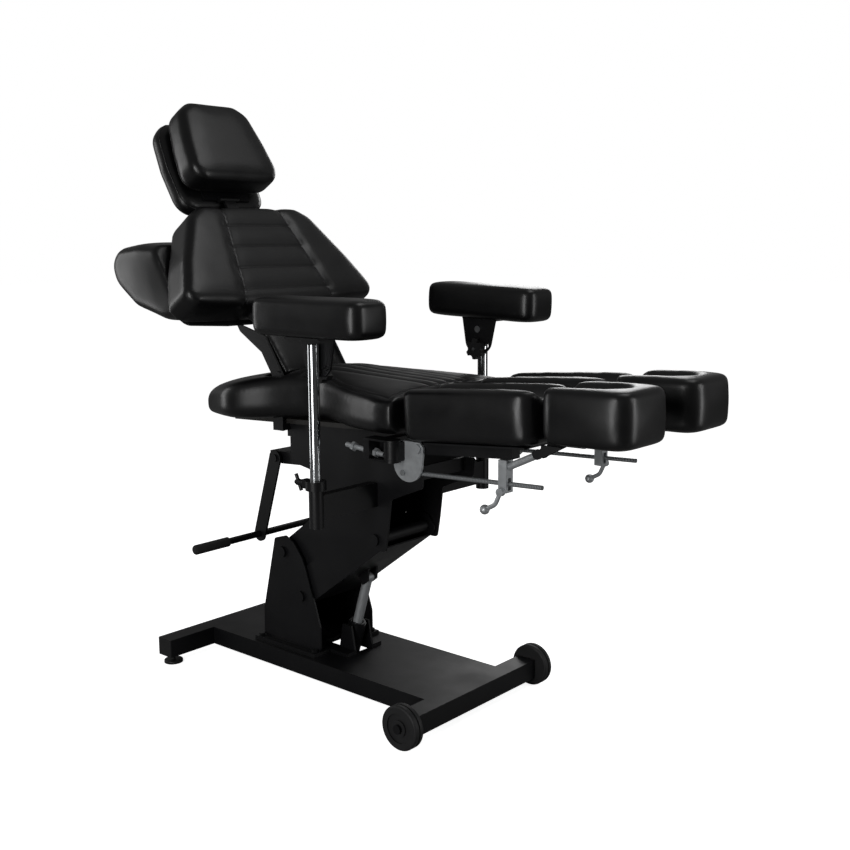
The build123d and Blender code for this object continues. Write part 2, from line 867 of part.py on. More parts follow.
def bar_grip():
    """The rubber grip on the near end of the cross bar."""
    end = -bar_near_end - grip_end_cover
    sleeve = cross_rod(bar_cross_x, bar_cross_z, end, -bar_near_end + grip_length, grip_radius)
    sleeve = fillet(sleeve.edges().group_by(Axis.Y)[0], grip_edge_radius)
    return sleeve - cross_rod(bar_cross_x, bar_cross_z, -bar_near_end, 0, bar_cross_radius)


# Seat


def seat_station(shares):
    """One station of the seat: its place, half width, underside, shoulder, crown and corner."""
    x = seat_rear_x + seat_length * shares[0]
    half = seat_half_width * shares[1]
    low = underside(x)
    top = seat_low_z + seat_depth * shares[2]
    crown = half * seat_crown_share
    corner = (top - crown - low) * seat_corner_share
    return x, half, low, top - crown, crown, corner


def cushion_section(x, half, low, high, crown, corner):
    """A closed section across the seat, with drawn-in sides and a crowned top."""
    cut = corner * (1 - sqrt(1 / 2))
    waist = (low + high) / 2
    drawn = half - seat_draw * corner / seat_depth
    edges = [Line((corner - half, low), (half - corner, low))]
    for side in (1, -1):
        edges.append(ThreePointArc((side * (half - corner), low), (side * (half - cut), low + cut),
                                   (side * half, low + corner)))
        edges.append(ThreePointArc((side * half, low + corner), (side * drawn, waist),
                                   (side * half, high - corner)))
        edges.append(ThreePointArc((side * half, high - corner), (side * (half - cut), high - cut),
                                   (side * (half - corner), high)))
    edges.append(ThreePointArc((half - corner, high), (0, high + crown), (corner - half, high)))
    face = make_face(edges)
    return Plane(origin=(x, 0, 0), x_dir=(0, 1, 0), z_dir=(1, 0, 0)) * face


def underside(x):
    """Height of the seat cushion's underside, one plane that rises to the front."""
    return seat_low_z + seat_rise * (x - seat_rear_x) / seat_length


def seat_cushion():
    """The seat with its waist and saddle, its lengthwise channels and the back's trough."""
    stations = [seat_station(shares) for shares in seat_station_shares]
    body = loft([cushion_section(*station) for station in stations])
    body = fillet(body.edges().group_by(Axis.X)[-1], seat_front_radius)
    front = [station for station, shares in zip(stations, seat_station_shares)
             if shares[0] > seat_channel_from_share]
    for share in seat_channel_shares:
        body -= seat_channel(share, front)
    body -= back_trough()
    pocket = lug_pocket()
    return body - pocket - far(pocket)


def seat_channel(share, stations):
    """The cutter for one lengthwise channel, following the crown."""
    y = seat_half_width * share
    floor = []
    for x, half, low, high, crown, corner in stations:
        drop = crown * (y / (half - corner)) ** 2
        floor.append((x, high + crown - drop - seat_channel_depth))
    roof = seat_low_z + seat_depth + overrun
    points = floor + [(floor[-1][0], roof), (floor[0][0], roof)]
    return sharp_plate(points, y - seat_channel_width / 2, y + seat_channel_width / 2)


def board_top(x):
    """Height of the seat board's top face."""
    return underside(x) - soft_gap


def sloped(x_rear, x_front, drop_top, drop_low, y_low, y_high):
    """A bar parallel to the seat's underside, between two depths below the board's top."""
    points = [(x_rear, board_top(x_rear) - drop_low), (x_front, board_top(x_front) - drop_low),
              (x_front, board_top(x_front) - drop_top), (x_rear, board_top(x_rear) - drop_top)]
    return sharp_plate(points, y_low, y_high)


def seat_board():
    """The board under the cushion, notched for the back's lugs."""
    rear = seat_rear_x + board_rear_inset
    front = seat_rear_x + seat_length - board_front_inset
    return sloped(rear, front, 0, board_thickness, -board_half_width, board_half_width)


def seat_frame():
    """Rails, risers, the knee tube with its forks, a rear shelf and the back's lugs."""
    rail_top = board_thickness
    rail_low = board_thickness + rail_height
    half = rail_half_gap
    rail = sloped(rail_rear_x, rail_front_x, rail_top, rail_low, half, half + rail_width)
    riser = riser_plate(riser_rear_x)
    knee = sloped(rail_front_x - knee_tube_width, rail_front_x, rail_top, rail_low, 0,
                  knee_tube_half_length)
    side = rail + riser + knee + knee_fork() + back_lug()
    lug_tie = sloped(hinge[0] - back_lug_half_width, hinge[0] + back_lug_half_width, rail_top,
                     rail_top + lug_tie_depth, 0, back_lug_outer)
    side += lug_tie
    shelf = shelf_plate()
    return side + far(side) + shelf


def riser_plate(x):
    """A plate from the carriage's top edge to the rail."""
    end = min(x + riser_length, rail_front_x)
    points = [(x, carriage_top(x)), (end, carriage_top(end)),
              (end, board_top(end) - board_thickness), (x, board_top(x) - board_thickness)]
    return sharp_plate(points, column_inner, column_half_width)


def shelf_plate():
    """The thin shelf across the carriage's rear."""
    end = shelf_rear_x + shelf_length
    points = [(shelf_rear_x, carriage_top(shelf_rear_x)), (end, carriage_top(end)),
              (end, carriage_top(end) + shelf_thickness),
              (shelf_rear_x, carriage_top(shelf_rear_x) + shelf_thickness)]
    return sharp_plate(points, -column_half_width, column_half_width)


fork_top_z = knee_block_low_z + knee_block_height + face_gap
fork_low_z = knee_block_low_z - face_gap


def knee_fork():
    """Two plates at the far end of the knee tube that hold the vertical knee pin."""
    fork = None
    for z in (fork_top_z, fork_low_z - knee_fork_thickness):
        leaf = block(rail_front_x - knee_tube_width, splay_x, splay_y - knee_block_radius,
                     splay_y + knee_block_radius, z, z + knee_fork_thickness)
        leaf += rod((splay_x, splay_y, z), (splay_x, splay_y, z + knee_fork_thickness),
                    knee_block_radius)
        leaf -= rod((splay_x, splay_y, z - overrun), (splay_x, splay_y, z + overrun * 2),
                    knee_pin_radius + fit_gap)
        fork = leaf if fork is None else fork + leaf
    post = block(rail_front_x - knee_tube_width, rail_front_x - knee_tube_width / 2,
                 knee_tube_half_length - knee_fork_thickness, splay_y + knee_block_radius,
                 fork_low_z - knee_fork_thickness, fork_top_z + knee_fork_thickness)
    return fork + post - stop_rod(stop_radius + fit_gap)


def stop_rod(radius):
    """The line of the far stop screw, at a radius."""
    return rod((stop_rear_x, splay_y, stop_rear_z), (stop_front_x, splay_y, stop_front_z), radius)


def stop_screw():
    """The far screw through the fork's post that stops the knee block, with its nuts."""
    start = Vector(stop_rear_x, splay_y, stop_rear_z)
    run = Vector(stop_front_x, splay_y, stop_front_z) - start
    screw = stop_rod(stop_radius)
    for share in stop_nut_shares:
        screw += Plane(origin=start + run * share, z_dir=run) * extrude(
            RegularPolygon(stop_nut_radius, 6), amount=stop_nut_length)
    return screw


# Back hinge geometry, shared by the seat and the back

back_up = (-sin(radians(back_recline)), cos(radians(back_recline)))
back_out = (cos(radians(back_recline)), sin(radians(back_recline)))
hinge = (neck_x - back_out[0] * neck_thickness / 2, neck_z - back_out[1] * neck_thickness / 2)
neck_half_width = back_half_width * neck_outline_shares[-1][0]
back_arm_inner = neck_half_width + back_arm_gap
back_lug_inner = back_arm_inner + back_arm_thickness + back_arm_gap
back_lug_outer = back_lug_inner + back_lug_thickness
back_plane = Plane(origin=(neck_x, 0, neck_z), x_dir=(0, 1, 0), z_dir=(back_out[0], 0, back_out[1]))


def back_trough():
    """What the neck of the back sweeps as it reclines, cut across the seat."""
    reach = neck_thickness / 2 + trough_gap
    span = back_lug_inner - back_arm_gap
    trough = cross_rod(*hinge, -span, span, reach)
    low = radians(back_recline + back_recline_down)
    high = radians(back_recline - back_recline_up)
    rear = (hinge[0] - reach * cos(low), hinge[1] - reach * sin(low))
    rear_far = (rear[0] - trough_reach * sin(low), rear[1] + trough_reach * cos(low))
    front = (hinge[0] + reach * cos(high), hinge[1] + reach * sin(high))
    front_far = (front[0] - trough_reach * sin(high), front[1] + trough_reach * cos(high))
    return trough + sharp_plate([hinge, rear, rear_far, front_far, front], -span, span)


def lug_pocket():
    """The slot through the far side of the seat for the hinge arm and its lug."""
    reach = back_arm_half_width + lug_pocket_gap
    high = back_lug_outer + lug_pocket_gap
    slot = block(hinge[0] - lug_pocket_rear, hinge[0] + reach, back_arm_inner - lug_pocket_gap, high,
                 seat_low_z - overrun, seat_low_z + seat_depth)
    return slot


def back_lug():
    """The far lug that carries the back's hinge pin."""
    low_z = board_top(hinge[0]) - board_thickness - lug_tie_depth
    half = back_lug_half_width
    lug = block(hinge[0] - half, hinge[0] + half, back_lug_inner, back_lug_outer, low_z, hinge[1])
    lug += cross_rod(*hinge, back_lug_inner, back_lug_outer, half)
    return lug - cross_rod(*hinge, 0, back_lug_outer + overrun, back_pin_radius + fit_gap)


# Armrests, written for the near side

sleeve_top_z = sleeve_low_z + sleeve_height
post_bore = post_radius + fit_gap


def arm_carrier():
    """The box arm from the carriage and the upright sleeve at its end."""
    x_low = arm_x - box_arm_thickness / 2
    arm = block(x_low, x_low + box_arm_thickness, -arm_y, -column_half_width, box_arm_low_z,
                box_arm_low_z + box_arm_height)
    sleeve = rod((arm_x, -arm_y, sleeve_low_z), (arm_x, -arm_y, sleeve_top_z), sleeve_radius)
    bore = rod((arm_x, -arm_y, sleeve_low_z - overrun), (arm_x, -arm_y, sleeve_top_z + overrun),
               post_bore)
    return arm + sleeve - bore


def post_collar():
    """The split collar on the sleeve, with an ear and a boss for its screw."""
    low = sleeve_top_z + face_gap
    mid = low + collar_height / 2
    ring = rod((arm_x, -arm_y, low), (arm_x, -arm_y, low + collar_height), collar_radius)
    half = collar_ear_width / 2
    ear = block(arm_x - collar_radius - collar_ear_length, arm_x, -arm_y - half, -arm_y + half, low,
                low + collar_height)
    screw_end = collar_radius + collar_ear_length + collar_screw_reach
    screw = rod((arm_x - post_radius - overrun, -arm_y, mid), (arm_x - screw_end, -arm_y, mid),
                collar_screw_radius)
    bore = rod((arm_x, -arm_y, low - overrun), (arm_x, -arm_y, low + collar_height + overrun),
               post_bore)
    return ring + ear + screw - bore


def collar_handle():
    """The T handle on the collar's screw."""
    mid = sleeve_top_z + face_gap + collar_height / 2
    start = arm_x - collar_radius - collar_ear_length - face_gap
    end = start - collar_screw_reach
    hub = rod((start, -arm_y, mid), (start - t_hub_length, -arm_y, mid), t_hub_radius)
    bar_x = start - t_hub_length + t_handle_radius
    down = turned((bar_x, mid), -t_handle_lean, t_handle_length / 2, 0)
    bar = rod((bar_x * 2 - down[0], -arm_y, mid * 2 - down[1]), (down[0], -arm_y, down[1]),
              t_handle_radius)
    hole = rod((start + overrun, -arm_y, mid), (end - overrun, -arm_y, mid),
               collar_screw_radius + fit_gap)
    return hub + bar - hole


def arm_post(raise_by):
    """The chrome post, with the bolt and the stud of the tilt plate."""
    low = post_low_z + raise_by
    pivot_z = low + post_to_pivot
    top = pivot_z + post_top_over_pivot
    post = rod((arm_x, -arm_y, low), (arm_x, -arm_y, top), post_radius)
    inner = -arm_y + post_radius + face_gap + tilt_plate_thickness + face_gap
    post += cross_rod(arm_x, pivot_z, -arm_y, inner + tilt_bolt_head_height, tilt_bolt_radius)
    post += cross_rod(arm_x, pivot_z, inner, inner + tilt_bolt_head_height, tilt_bolt_head_radius)
    stud_end = inner + face_gap + knob_thickness + overrun
    return post + cross_rod(arm_x, pivot_z - tilt_slot_radius, -arm_y, stud_end, tilt_stud_radius)


def tilt_plate(raise_by, tilt):
    """The plate under the armrest pad with its curved slot and its flange."""
    pivot_z = post_low_z + raise_by + post_to_pivot
    low_y = -arm_y + post_radius + face_gap
    high_y = low_y + tilt_plate_thickness
    half = tilt_plate_width / 2
    top = pivot_z + tilt_pad_over_pivot - soft_gap
    bottom = pivot_z - tilt_plate_below_pivot
    face = plate([(arm_x - half, top), (arm_x + half, top), (arm_x + half * tilt_plate_foot_share, bottom),
                  (arm_x - half * tilt_plate_foot_share, bottom)], low_y, high_y, [0, 0, tilt_corner_radius,
                                                                 tilt_corner_radius])
    flange = block(arm_x - half, arm_x + half, high_y - tilt_plate_flange_width, high_y,
                   top - tilt_plate_thickness, top)
    body = face + flange - tilt_slot(pivot_z, low_y, high_y)
    body -= cross_rod(arm_x, pivot_z, low_y - overrun, high_y + overrun, tilt_bolt_radius + fit_gap)
    return about_pivot(body, pivot_z, tilt)


def tilt_slot(pivot_z, low_y, high_y):
    """The curved slot about the pivot bolt."""
    ring = cross_rod(arm_x, pivot_z, low_y - overrun, high_y + overrun,
                     tilt_slot_radius + tilt_slot_half_width)
    ring -= cross_rod(arm_x, pivot_z, low_y - overrun, high_y + overrun,
                      tilt_slot_radius - tilt_slot_half_width)
    reach = tilt_slot_radius * 2
    spread_x = reach * tan(radians(tilt_slot_half_angle))
    wedge = sharp_plate([(arm_x, pivot_z), (arm_x - spread_x, pivot_z - reach),
                         (arm_x + spread_x, pivot_z - reach)], low_y - overrun, high_y + overrun)
    slot = ring & wedge
    for side in (-1, 1):
        x, z = turned((arm_x, pivot_z), side * tilt_slot_half_angle, 0, -tilt_slot_radius)
        slot += cross_rod(x, z, low_y - overrun, high_y + overrun, tilt_slot_half_width)
    return slot


def about_pivot(shape, pivot_z, tilt):
    """Turn a piece about the armrest's pivot, nose down for a positive angle."""
    place = Pos(arm_x, 0, pivot_z)
    return place * Rot(0, tilt, 0) * place.inverse() * shape


def arm_pad(raise_by, tilt):
    """The armrest pad."""
    pivot_z = post_low_z + raise_by + post_to_pivot
    pad = pad_block(arm_pad_length, arm_pad_width, arm_pad_height, arm_pad_corner, arm_pad_edge)
    low = pivot_z + tilt_pad_over_pivot
    return about_pivot(Pos(arm_x + arm_pad_x, -arm_y, low + arm_pad_height / 2) * pad, pivot_z, tilt)


def arm_knob(raise_by):
    """The star knob on the tilt plate's stud."""
    z = post_low_z + raise_by + post_to_pivot - tilt_slot_radius
    low_y = -arm_y + post_radius + tilt_plate_thickness + face_gap * 3
    high_y = low_y + knob_thickness
    star = cross_rod(arm_x, z, low_y, high_y, knob_radius)
    for angle in knob_lobe_angles:
        x, z_scallop = turned((arm_x, z), angle, knob_radius * knob_scallop_reach_share, 0)
        star -= cross_rod(x, z_scallop, low_y - overrun, high_y + overrun,
                          knob_radius * knob_scallop_share)
    return star - cross_rod(arm_x, z, low_y - overrun, high_y + overrun, tilt_stud_radius + fit_gap)


# Back


def back_outline(inset_share):
    """The outline of the back's shield, both halves."""
    points = [(back_half_width * u * inset_share, back_height * v) for u, v in back_outline_shares]
    radii = [back_height * share for share in back_corner_shares]
    whole = points + [(-x, z) for x, z in reversed(points)]
    return make_face(FilletPolyline(*whole, radius=radii + radii[::-1], close=True))


def back_neck():
    """The thinner neck that joins the shield to the seat."""
    points = [(back_half_width * u, back_height * v) for u, v in neck_outline_shares]
    whole = points + [(-x, z) for x, z in reversed(points)]
    body = extrude(make_face(Polyline(*whole, close=True)), amount=-neck_thickness)
    return fillet(body.edges().group_by(Axis.Z)[-1], neck_edge_radius)


def back_cushion():
    """The back with its neck, its wings, its crown and the seams of its centre panel."""
    body = Pos(0, 0, back_proud) * extrude(back_outline(1), amount=-back_thickness - back_proud)
    body = fillet(body.edges().group_by(Axis.Z)[-1], back_edge_radius) + back_neck()
    for share in back_channel_rise_shares:
        body -= back_channel(share)
    seam = back_seam()
    body -= seam + mirror(seam, about=Plane.YZ)
    body -= guide_pocket()
    return back_plane * body


def back_channel(share):
    """One channel across the centre panel."""
    rise = (share - back_seam_rise_shares[0]) / (back_seam_rise_shares[1] - back_seam_rise_shares[0])
    half = back_half_width * (back_seam_bottom_share
                              + (back_seam_top_share - back_seam_bottom_share) * rise)
    channel = Box(half * 2, back_groove_width, back_groove_depth * 2)
    return Pos(0, back_height * share, back_proud) * channel


def back_seam():
    """The slanting seam at one side of the centre panel."""
    low = Vector(back_half_width * back_seam_bottom_share, back_height * back_seam_rise_shares[0],
                 back_proud)
    high = Vector(back_half_width * back_seam_top_share, back_height * back_seam_rise_shares[1],
                  back_proud)
    run = high - low
    middle = (low + high) / 2
    box = Box(run.length, back_groove_width, back_groove_depth * 2)
    return Plane(origin=middle, x_dir=run, z_dir=(0, 0, 1)) * box


def guide_pocket():
    """Room in the back cushion for the headrest's guide."""
    half = head_guide_width / 2 + soft_gap
    low = back_height - head_guide_length - soft_gap
    front = guide_front() + soft_gap
    return block(-half, half, low, back_height + overrun, -back_thickness - overrun, front)


def guide_front():
    """Depth of the guide's front face, below the back's front face."""
    return bar_depth() + head_bar_thickness / 2 + head_guide_wall


def bar_depth():
    """Depth of the headrest bar's middle, in the back's own directions."""
    x = head_hinge_point()[0] - neck_x
    z = head_hinge_point()[1] - neck_z
    return x * back_out[0] + z * back_out[1]


def head_hinge_point():
    """The headrest's tilt axis."""
    x = head_x - head_up[0] * head_hinge_below - head_out[0] * head_hinge_behind
    z = head_z - head_up[1] * head_hinge_below - head_out[1] * head_hinge_behind
    return (x, z)


def back_frame():
    """The board behind the cushion, the hinge arms beside the neck and the headrest's guide."""
    face = back_outline(back_board_inset_share)
    board = Pos(0, 0, -back_thickness - soft_gap) * extrude(face, amount=-back_board_thickness)
    half = head_guide_width / 2
    slot_half = head_bar_width / 2 + fit_gap
    slot_deep = head_bar_thickness / 2 + fit_gap
    low = back_height - head_guide_length
    high = back_height - head_guide_drop
    guide = block(-half, half, low, high, -back_thickness - soft_gap, guide_front())
    guide -= block(-slot_half, slot_half, low - overrun, high + overrun, bar_depth() - slot_deep,
                   bar_depth() + slot_deep)
    arm = back_arm()
    return back_plane * (board + guide) + arm + far(arm)


def back_arm():
    """The far hinge arm, beside the neck and then behind the shield, where it joins the board."""
    half = back_arm_half_width
    low = back_arm_inner
    high = low + back_arm_thickness
    front = neck_thickness / 2 - back_thickness - soft_gap
    rear = front - back_board_thickness
    shoulder = back_height * back_outline_shares[0][1]
    bend = shoulder - back_arm_under - back_arm_slope
    places = [(half, 0), (half, bend), (front, shoulder - back_arm_under),
              (front, shoulder + back_arm_grip), (rear, shoulder + back_arm_grip),
              (rear, shoulder - back_arm_heel), (-half, bend - back_arm_throat), (-half, 0)]
    points = [(hinge[0] + back_out[0] * out + back_up[0] * up, hinge[1] + back_out[1] * out
               + back_up[1] * up) for out, up in places]
    arm = sharp_plate(points, low, high) + cross_rod(*hinge, low, high, half)
    return arm + cross_rod(*hinge, low, back_lug_outer + back_arm_gap, back_pin_radius)


def rear_bolster():
    """The bolster behind the back, its front face along the board."""
    points = spread(bolster_profile_shares, bolster_front_x, bolster_length, bolster_low_z,
                    bolster_height)
    radii = [0] + [bolster_corner_radius] * (len(points) - 2) + [0]
    body = plate(points, -bolster_half_width, bolster_half_width, radii)
    ends = body.edges().group_by(Axis.Y)
    body = fillet(ends[0] + ends[-1], bolster_end_radius)
    depth = -back_thickness - soft_gap - back_board_thickness - soft_gap
    keep_out = block(-back_half_width, back_half_width, -back_height, back_height * 2, depth,
                     back_thickness + back_proud)
    return body - back_plane * keep_out


# Headrest

head_up = (-sin(radians(head_tilt)), cos(radians(head_tilt)))
head_out = (cos(radians(head_tilt)), sin(radians(head_tilt)))
head_x = neck_x + back_up[0] * (back_height + head_over_back) + back_out[0] * head_forward
head_z = neck_z + back_up[1] * (back_height + head_over_back) + back_out[1] * head_forward
head_plane = Plane(origin=(head_x, 0, head_z), x_dir=(0, 1, 0), z_dir=(head_out[0], 0, head_out[1]))


def head_shape(outline_shares, height, thickness, edge):
    """A head pad lying in the XY plane, its face up and its lower edge at Y zero."""
    points = [(head_half_width * u, height * v) for u, v in outline_shares]
    radii = [height * share for share in head_corner_shares]
    whole = points + [(-x, y) for x, y in reversed(points)]
    face = make_face(FilletPolyline(*whole, radius=radii + radii[::-1], close=True))
    body = extrude(face, amount=-thickness)
    rims = body.edges().group_by(Axis.Z)
    return fillet(rims[0] + rims[-1], edge)


def head_pad():
    """The front head pad."""
    return head_plane * head_shape(head_outline_shares, head_height, head_pad_thickness,
                                   head_edge_radius)


def head_pad_rear():
    """The second pad, lower down behind the plate."""
    depth = head_pad_thickness + head_plate_thickness + soft_gap * 2
    body = head_shape(head_rear_outline_shares, head_rear_top + head_rear_drop, head_rear_thickness,
                      head_edge_radius)
    return head_plane * Pos(0, -head_rear_drop, -depth) * body


def head_plate():
    """The plate between the head pads, with the hinge's outer knuckles."""
    front = -head_pad_thickness - soft_gap
    back = front - head_plate_thickness
    half = head_half_width / 2
    sheet = block(-half, half, -head_hinge_below, head_rear_top / 2, back, front)
    barrel = Plane(origin=(0, -head_hinge_below, -head_hinge_behind), x_dir=(0, 1, 0), z_dir=(1, 0, 0))
    inner = head_bar_width / 2 + head_barrel_gap
    for side in (-1, 1):
        start = side * inner
        end = side * head_barrel_half
        low = min(start, end)
        knuckle = Pos(low, -head_hinge_below, -head_hinge_behind) * (
            Plane.YZ * Cylinder(head_barrel_radius, head_barrel_half - inner,
                                align=(Align.CENTER, Align.CENTER, Align.MIN)))
        sheet += knuckle
    reach = inner + overrun
    notch = block(-inner, inner, -head_hinge_below - head_barrel_radius, -head_hinge_below
                  + head_barrel_radius + head_barrel_gap, back - overrun, front + overrun)
    pin = Pos(-reach, -head_hinge_below, -head_hinge_behind) * (
        Plane.YZ * Cylinder(head_pin_radius, reach * 2,
                            align=(Align.CENTER, Align.CENTER, Align.MIN)))
    return head_plane * (sheet - notch + pin)


def head_bar():
    """The flat bar that slides in the back's guide, with the hinge's middle knuckle."""
    point = head_hinge_point()
    x = point[0] - neck_x
    z = point[1] - neck_z
    rise = x * back_up[0] + z * back_up[1]
    depth = bar_depth()
    half = head_bar_width / 2
    bar = block(-half, half, rise - head_bar_length, rise, depth - head_bar_thickness / 2,
                depth + head_bar_thickness / 2)
    knuckle = Pos(-half, rise, depth) * (
        Plane.YZ * Cylinder(head_barrel_radius, head_bar_width,
                            align=(Align.CENTER, Align.CENTER, Align.MIN)))
    hole = Pos(-half - overrun, rise, depth) * (
        Plane.YZ * Cylinder(head_pin_radius + fit_gap, head_bar_width + overrun * 2,
                            align=(Align.CENTER, Align.CENTER, Align.MIN)))
    return back_plane * (bar + knuckle - hole)


# Legs, written for the near side

leg_mid_y = -(leg_inner_y + leg_width / 2)
calf_plane = Plane(origin=(calf_x, leg_mid_y, calf_low_z), x_dir=(cos(radians(leg_tilt)), 0,
                                                                sin(radians(leg_tilt))),
                   z_dir=(-sin(radians(leg_tilt)), 0, cos(radians(leg_tilt))))
calf_run = calf_length / cos(radians(leg_tilt))
foot_x = calf_x + calf_length + foot_gap
rod_end_x = calf_x + calf_length
link_end_x = rod_end_x - link_end_inset
clamp_x = calf_x + calf_length * clamp_share
leg_rail_length = clamp_x - calf_x + clamp_half_length + leg_rail_past_clamp
foot_plane = Plane(origin=(foot_x, leg_mid_y, foot_low_z), x_dir=(cos(radians(foot_tilt)), 0,
                                                                sin(radians(foot_tilt))),
                   z_dir=(-sin(radians(foot_tilt)), 0, cos(radians(foot_tilt))))
quadrant_low_y = -knee_block_inner_y
quadrant_high_y = quadrant_low_y + quadrant_thickness
rod_y = quadrant_high_y + face_gap + rod_eye_width / 2
rail_low_y = quadrant_high_y + leg_rail_gap
rail_high_y = rail_low_y + leg_rail_width
rail_drop = soft_gap + leg_plate_thickness


def calf_pad():
    """The calf pad with its gutter between two side bolsters."""
    body = pad_block(calf_run, leg_width, calf_height, leg_corner, leg_edge)
    body = Pos(calf_run / 2, 0, calf_height / 2) * body
    height = calf_height - gutter_depth + gutter_radius
    gutter = rod((-overrun, 0, height), (calf_run + overrun, 0, height), gutter_radius)
    return calf_plane * (body - gutter)


def foot_pad():
    """The foot pad with a horseshoe rim round a dish that is open to the rear."""
    body = pad_block(foot_length, leg_width, foot_height, leg_corner, leg_edge)
    body = Pos(foot_length / 2, 0, foot_height / 2) * body
    height = foot_height - gutter_depth + gutter_radius
    run = foot_length - foot_rim_length - sqrt(gutter_radius ** 2 - (gutter_radius - gutter_depth) ** 2)
    dish = rod((-overrun, 0, height), (run, 0, height), gutter_radius)
    dish += Pos(run, 0, height) * Sphere(gutter_radius)
    return foot_plane * (body - dish)


def knee_block():
    """The near knee block with its vertical pin."""
    low = knee_block_low_z
    high = low + knee_block_height
    body = rod((splay_x, -splay_y, low), (splay_x, -splay_y, high), knee_block_radius)
    body += block(splay_x - knee_block_radius / 2, splay_x + knee_block_radius, -splay_y,
                  quadrant_low_y, low, high)
    pin_low = fork_low_z - knee_fork_thickness - knee_pin_head
    pin_high = fork_top_z + knee_fork_thickness
    body += rod((splay_x, -splay_y, pin_low), (splay_x, -splay_y, pin_high), knee_pin_radius)
    return body


def knee_quadrant():
    """The zinc plate on the knee block, with the knee bolt."""
    points = [(quadrant_rear_x, quadrant_arm_z), (quadrant_step_x, quadrant_arm_z),
              (quadrant_step_x, quadrant_top_z), (quadrant_chamfer_x, quadrant_top_z),
              (quadrant_front_x, quadrant_chamfer_z),
              (quadrant_lobe_x + quadrant_lobe_radius, quadrant_lobe_z),
              (quadrant_lobe_x - quadrant_lobe_radius, quadrant_lobe_z)]
    body = sharp_plate(points, quadrant_low_y, quadrant_high_y)
    body += cross_rod(quadrant_lobe_x, quadrant_lobe_z, quadrant_low_y, quadrant_high_y,
                      quadrant_lobe_radius)
    body -= cross_rod(rod_x, rod_z, quadrant_low_y - overrun, quadrant_high_y + overrun,
                      rod_pin_radius + fit_gap)
    body += cross_rod(knee_x, knee_z, quadrant_low_y - knee_bolt_head, quadrant_low_y,
                      knee_bolt_head_radius)
    return body + cross_rod(knee_x, knee_z, quadrant_low_y, rail_high_y + face_gap, knee_bolt_radius)


def rail_point(along, drop):
    """A point below the calf pad, from its place along the pad and its depth."""
    return turned((calf_x, calf_low_z), leg_tilt, along, -drop)


def leg_rail():
    """The leg's plate and the rail below it, pierced by the knee bolt."""
    start = leg_plate_start
    plate_end = calf_run - leg_plate_inset
    top = soft_gap
    mid = rail_drop
    low = rail_drop + leg_rail_height
    sheet = sharp_plate([rail_point(start, top), rail_point(plate_end, top), rail_point(plate_end, mid),
                         rail_point(start, mid)], leg_mid_y - leg_plate_width / 2,
                        leg_mid_y + leg_plate_width / 2)
    rail = sharp_plate([rail_point(0, mid), rail_point(leg_rail_length, mid),
                        rail_point(leg_rail_length, low), rail_point(0, low)], rail_low_y, rail_high_y)
    nose = cross_rod(knee_x, knee_z, rail_low_y, rail_high_y, leg_rail_nose)
    body = sheet + rail + nose
    return body - cross_rod(knee_x, knee_z, rail_low_y - overrun, rail_high_y + overrun,
                            knee_bolt_radius + fit_gap)


def rod_point(x):
    """A point on the stay rod's axis."""
    return (x, rod_y, rod_z + (x - rod_x) * tan(radians(rod_rise)))


def stay_rod():
    """The stay rod with its eye against the quadrant and its bolt through it."""
    half = rod_eye_width / 2
    bar = rod(rod_point(rod_x), rod_point(rod_end_x), rod_radius)
    eye = cross_rod(rod_x, rod_z, rod_y - half, rod_y + half, rod_eye_radius)
    pin = cross_rod(rod_x, rod_z, quadrant_low_y - face_gap, rod_y, rod_pin_radius)
    head_y = quadrant_low_y - face_gap
    head = cross_rod(rod_x, rod_z, head_y - rod_pin_head, head_y, rod_pin_head_radius)
    return bar + eye + pin + head


def leg_fittings():
    """The clamp that hangs from the rail round the stay rod, and the chrome link tube."""
    centre = rod_point(clamp_x)
    half = clamp_half_length
    wide = clamp_half_width
    tall = clamp_slot_half_height + clamp_wall
    top = rail_point(clamp_x - half - calf_x, rail_drop + leg_rail_height)[1] - face_gap
    clamp = block(clamp_x - half, clamp_x + half, rod_y - wide, rod_y + wide, centre[2] - tall, top)
    slot_half = rod_radius + clamp_slot_play
    slot = block(clamp_x - half - overrun, clamp_x + half + overrun, rod_y - slot_half,
                 rod_y + slot_half, centre[2] - clamp_slot_half_height,
                 centre[2] + clamp_slot_half_height)
    screw = cross_rod(clamp_x, lever_z(), rod_y - wide - lever_hub_width, rod_y - wide,
                      lever_screw_radius)
    link = rod((clamp_x, rod_y, link_start_z - half), (link_end_x, rod_y, link_end_z), link_tube_radius)
    link -= cross_rod(link_end_x, link_end_z, rod_y - wide * 2, rod_y + wide * 2,
                      bracket_pin_radius + fit_gap)
    return clamp - slot + screw + (link - slot)


def lever_z():
    """Height of the clamp lever's screw."""
    return rod_point(clamp_x)[2] - clamp_slot_half_height - clamp_wall / 2


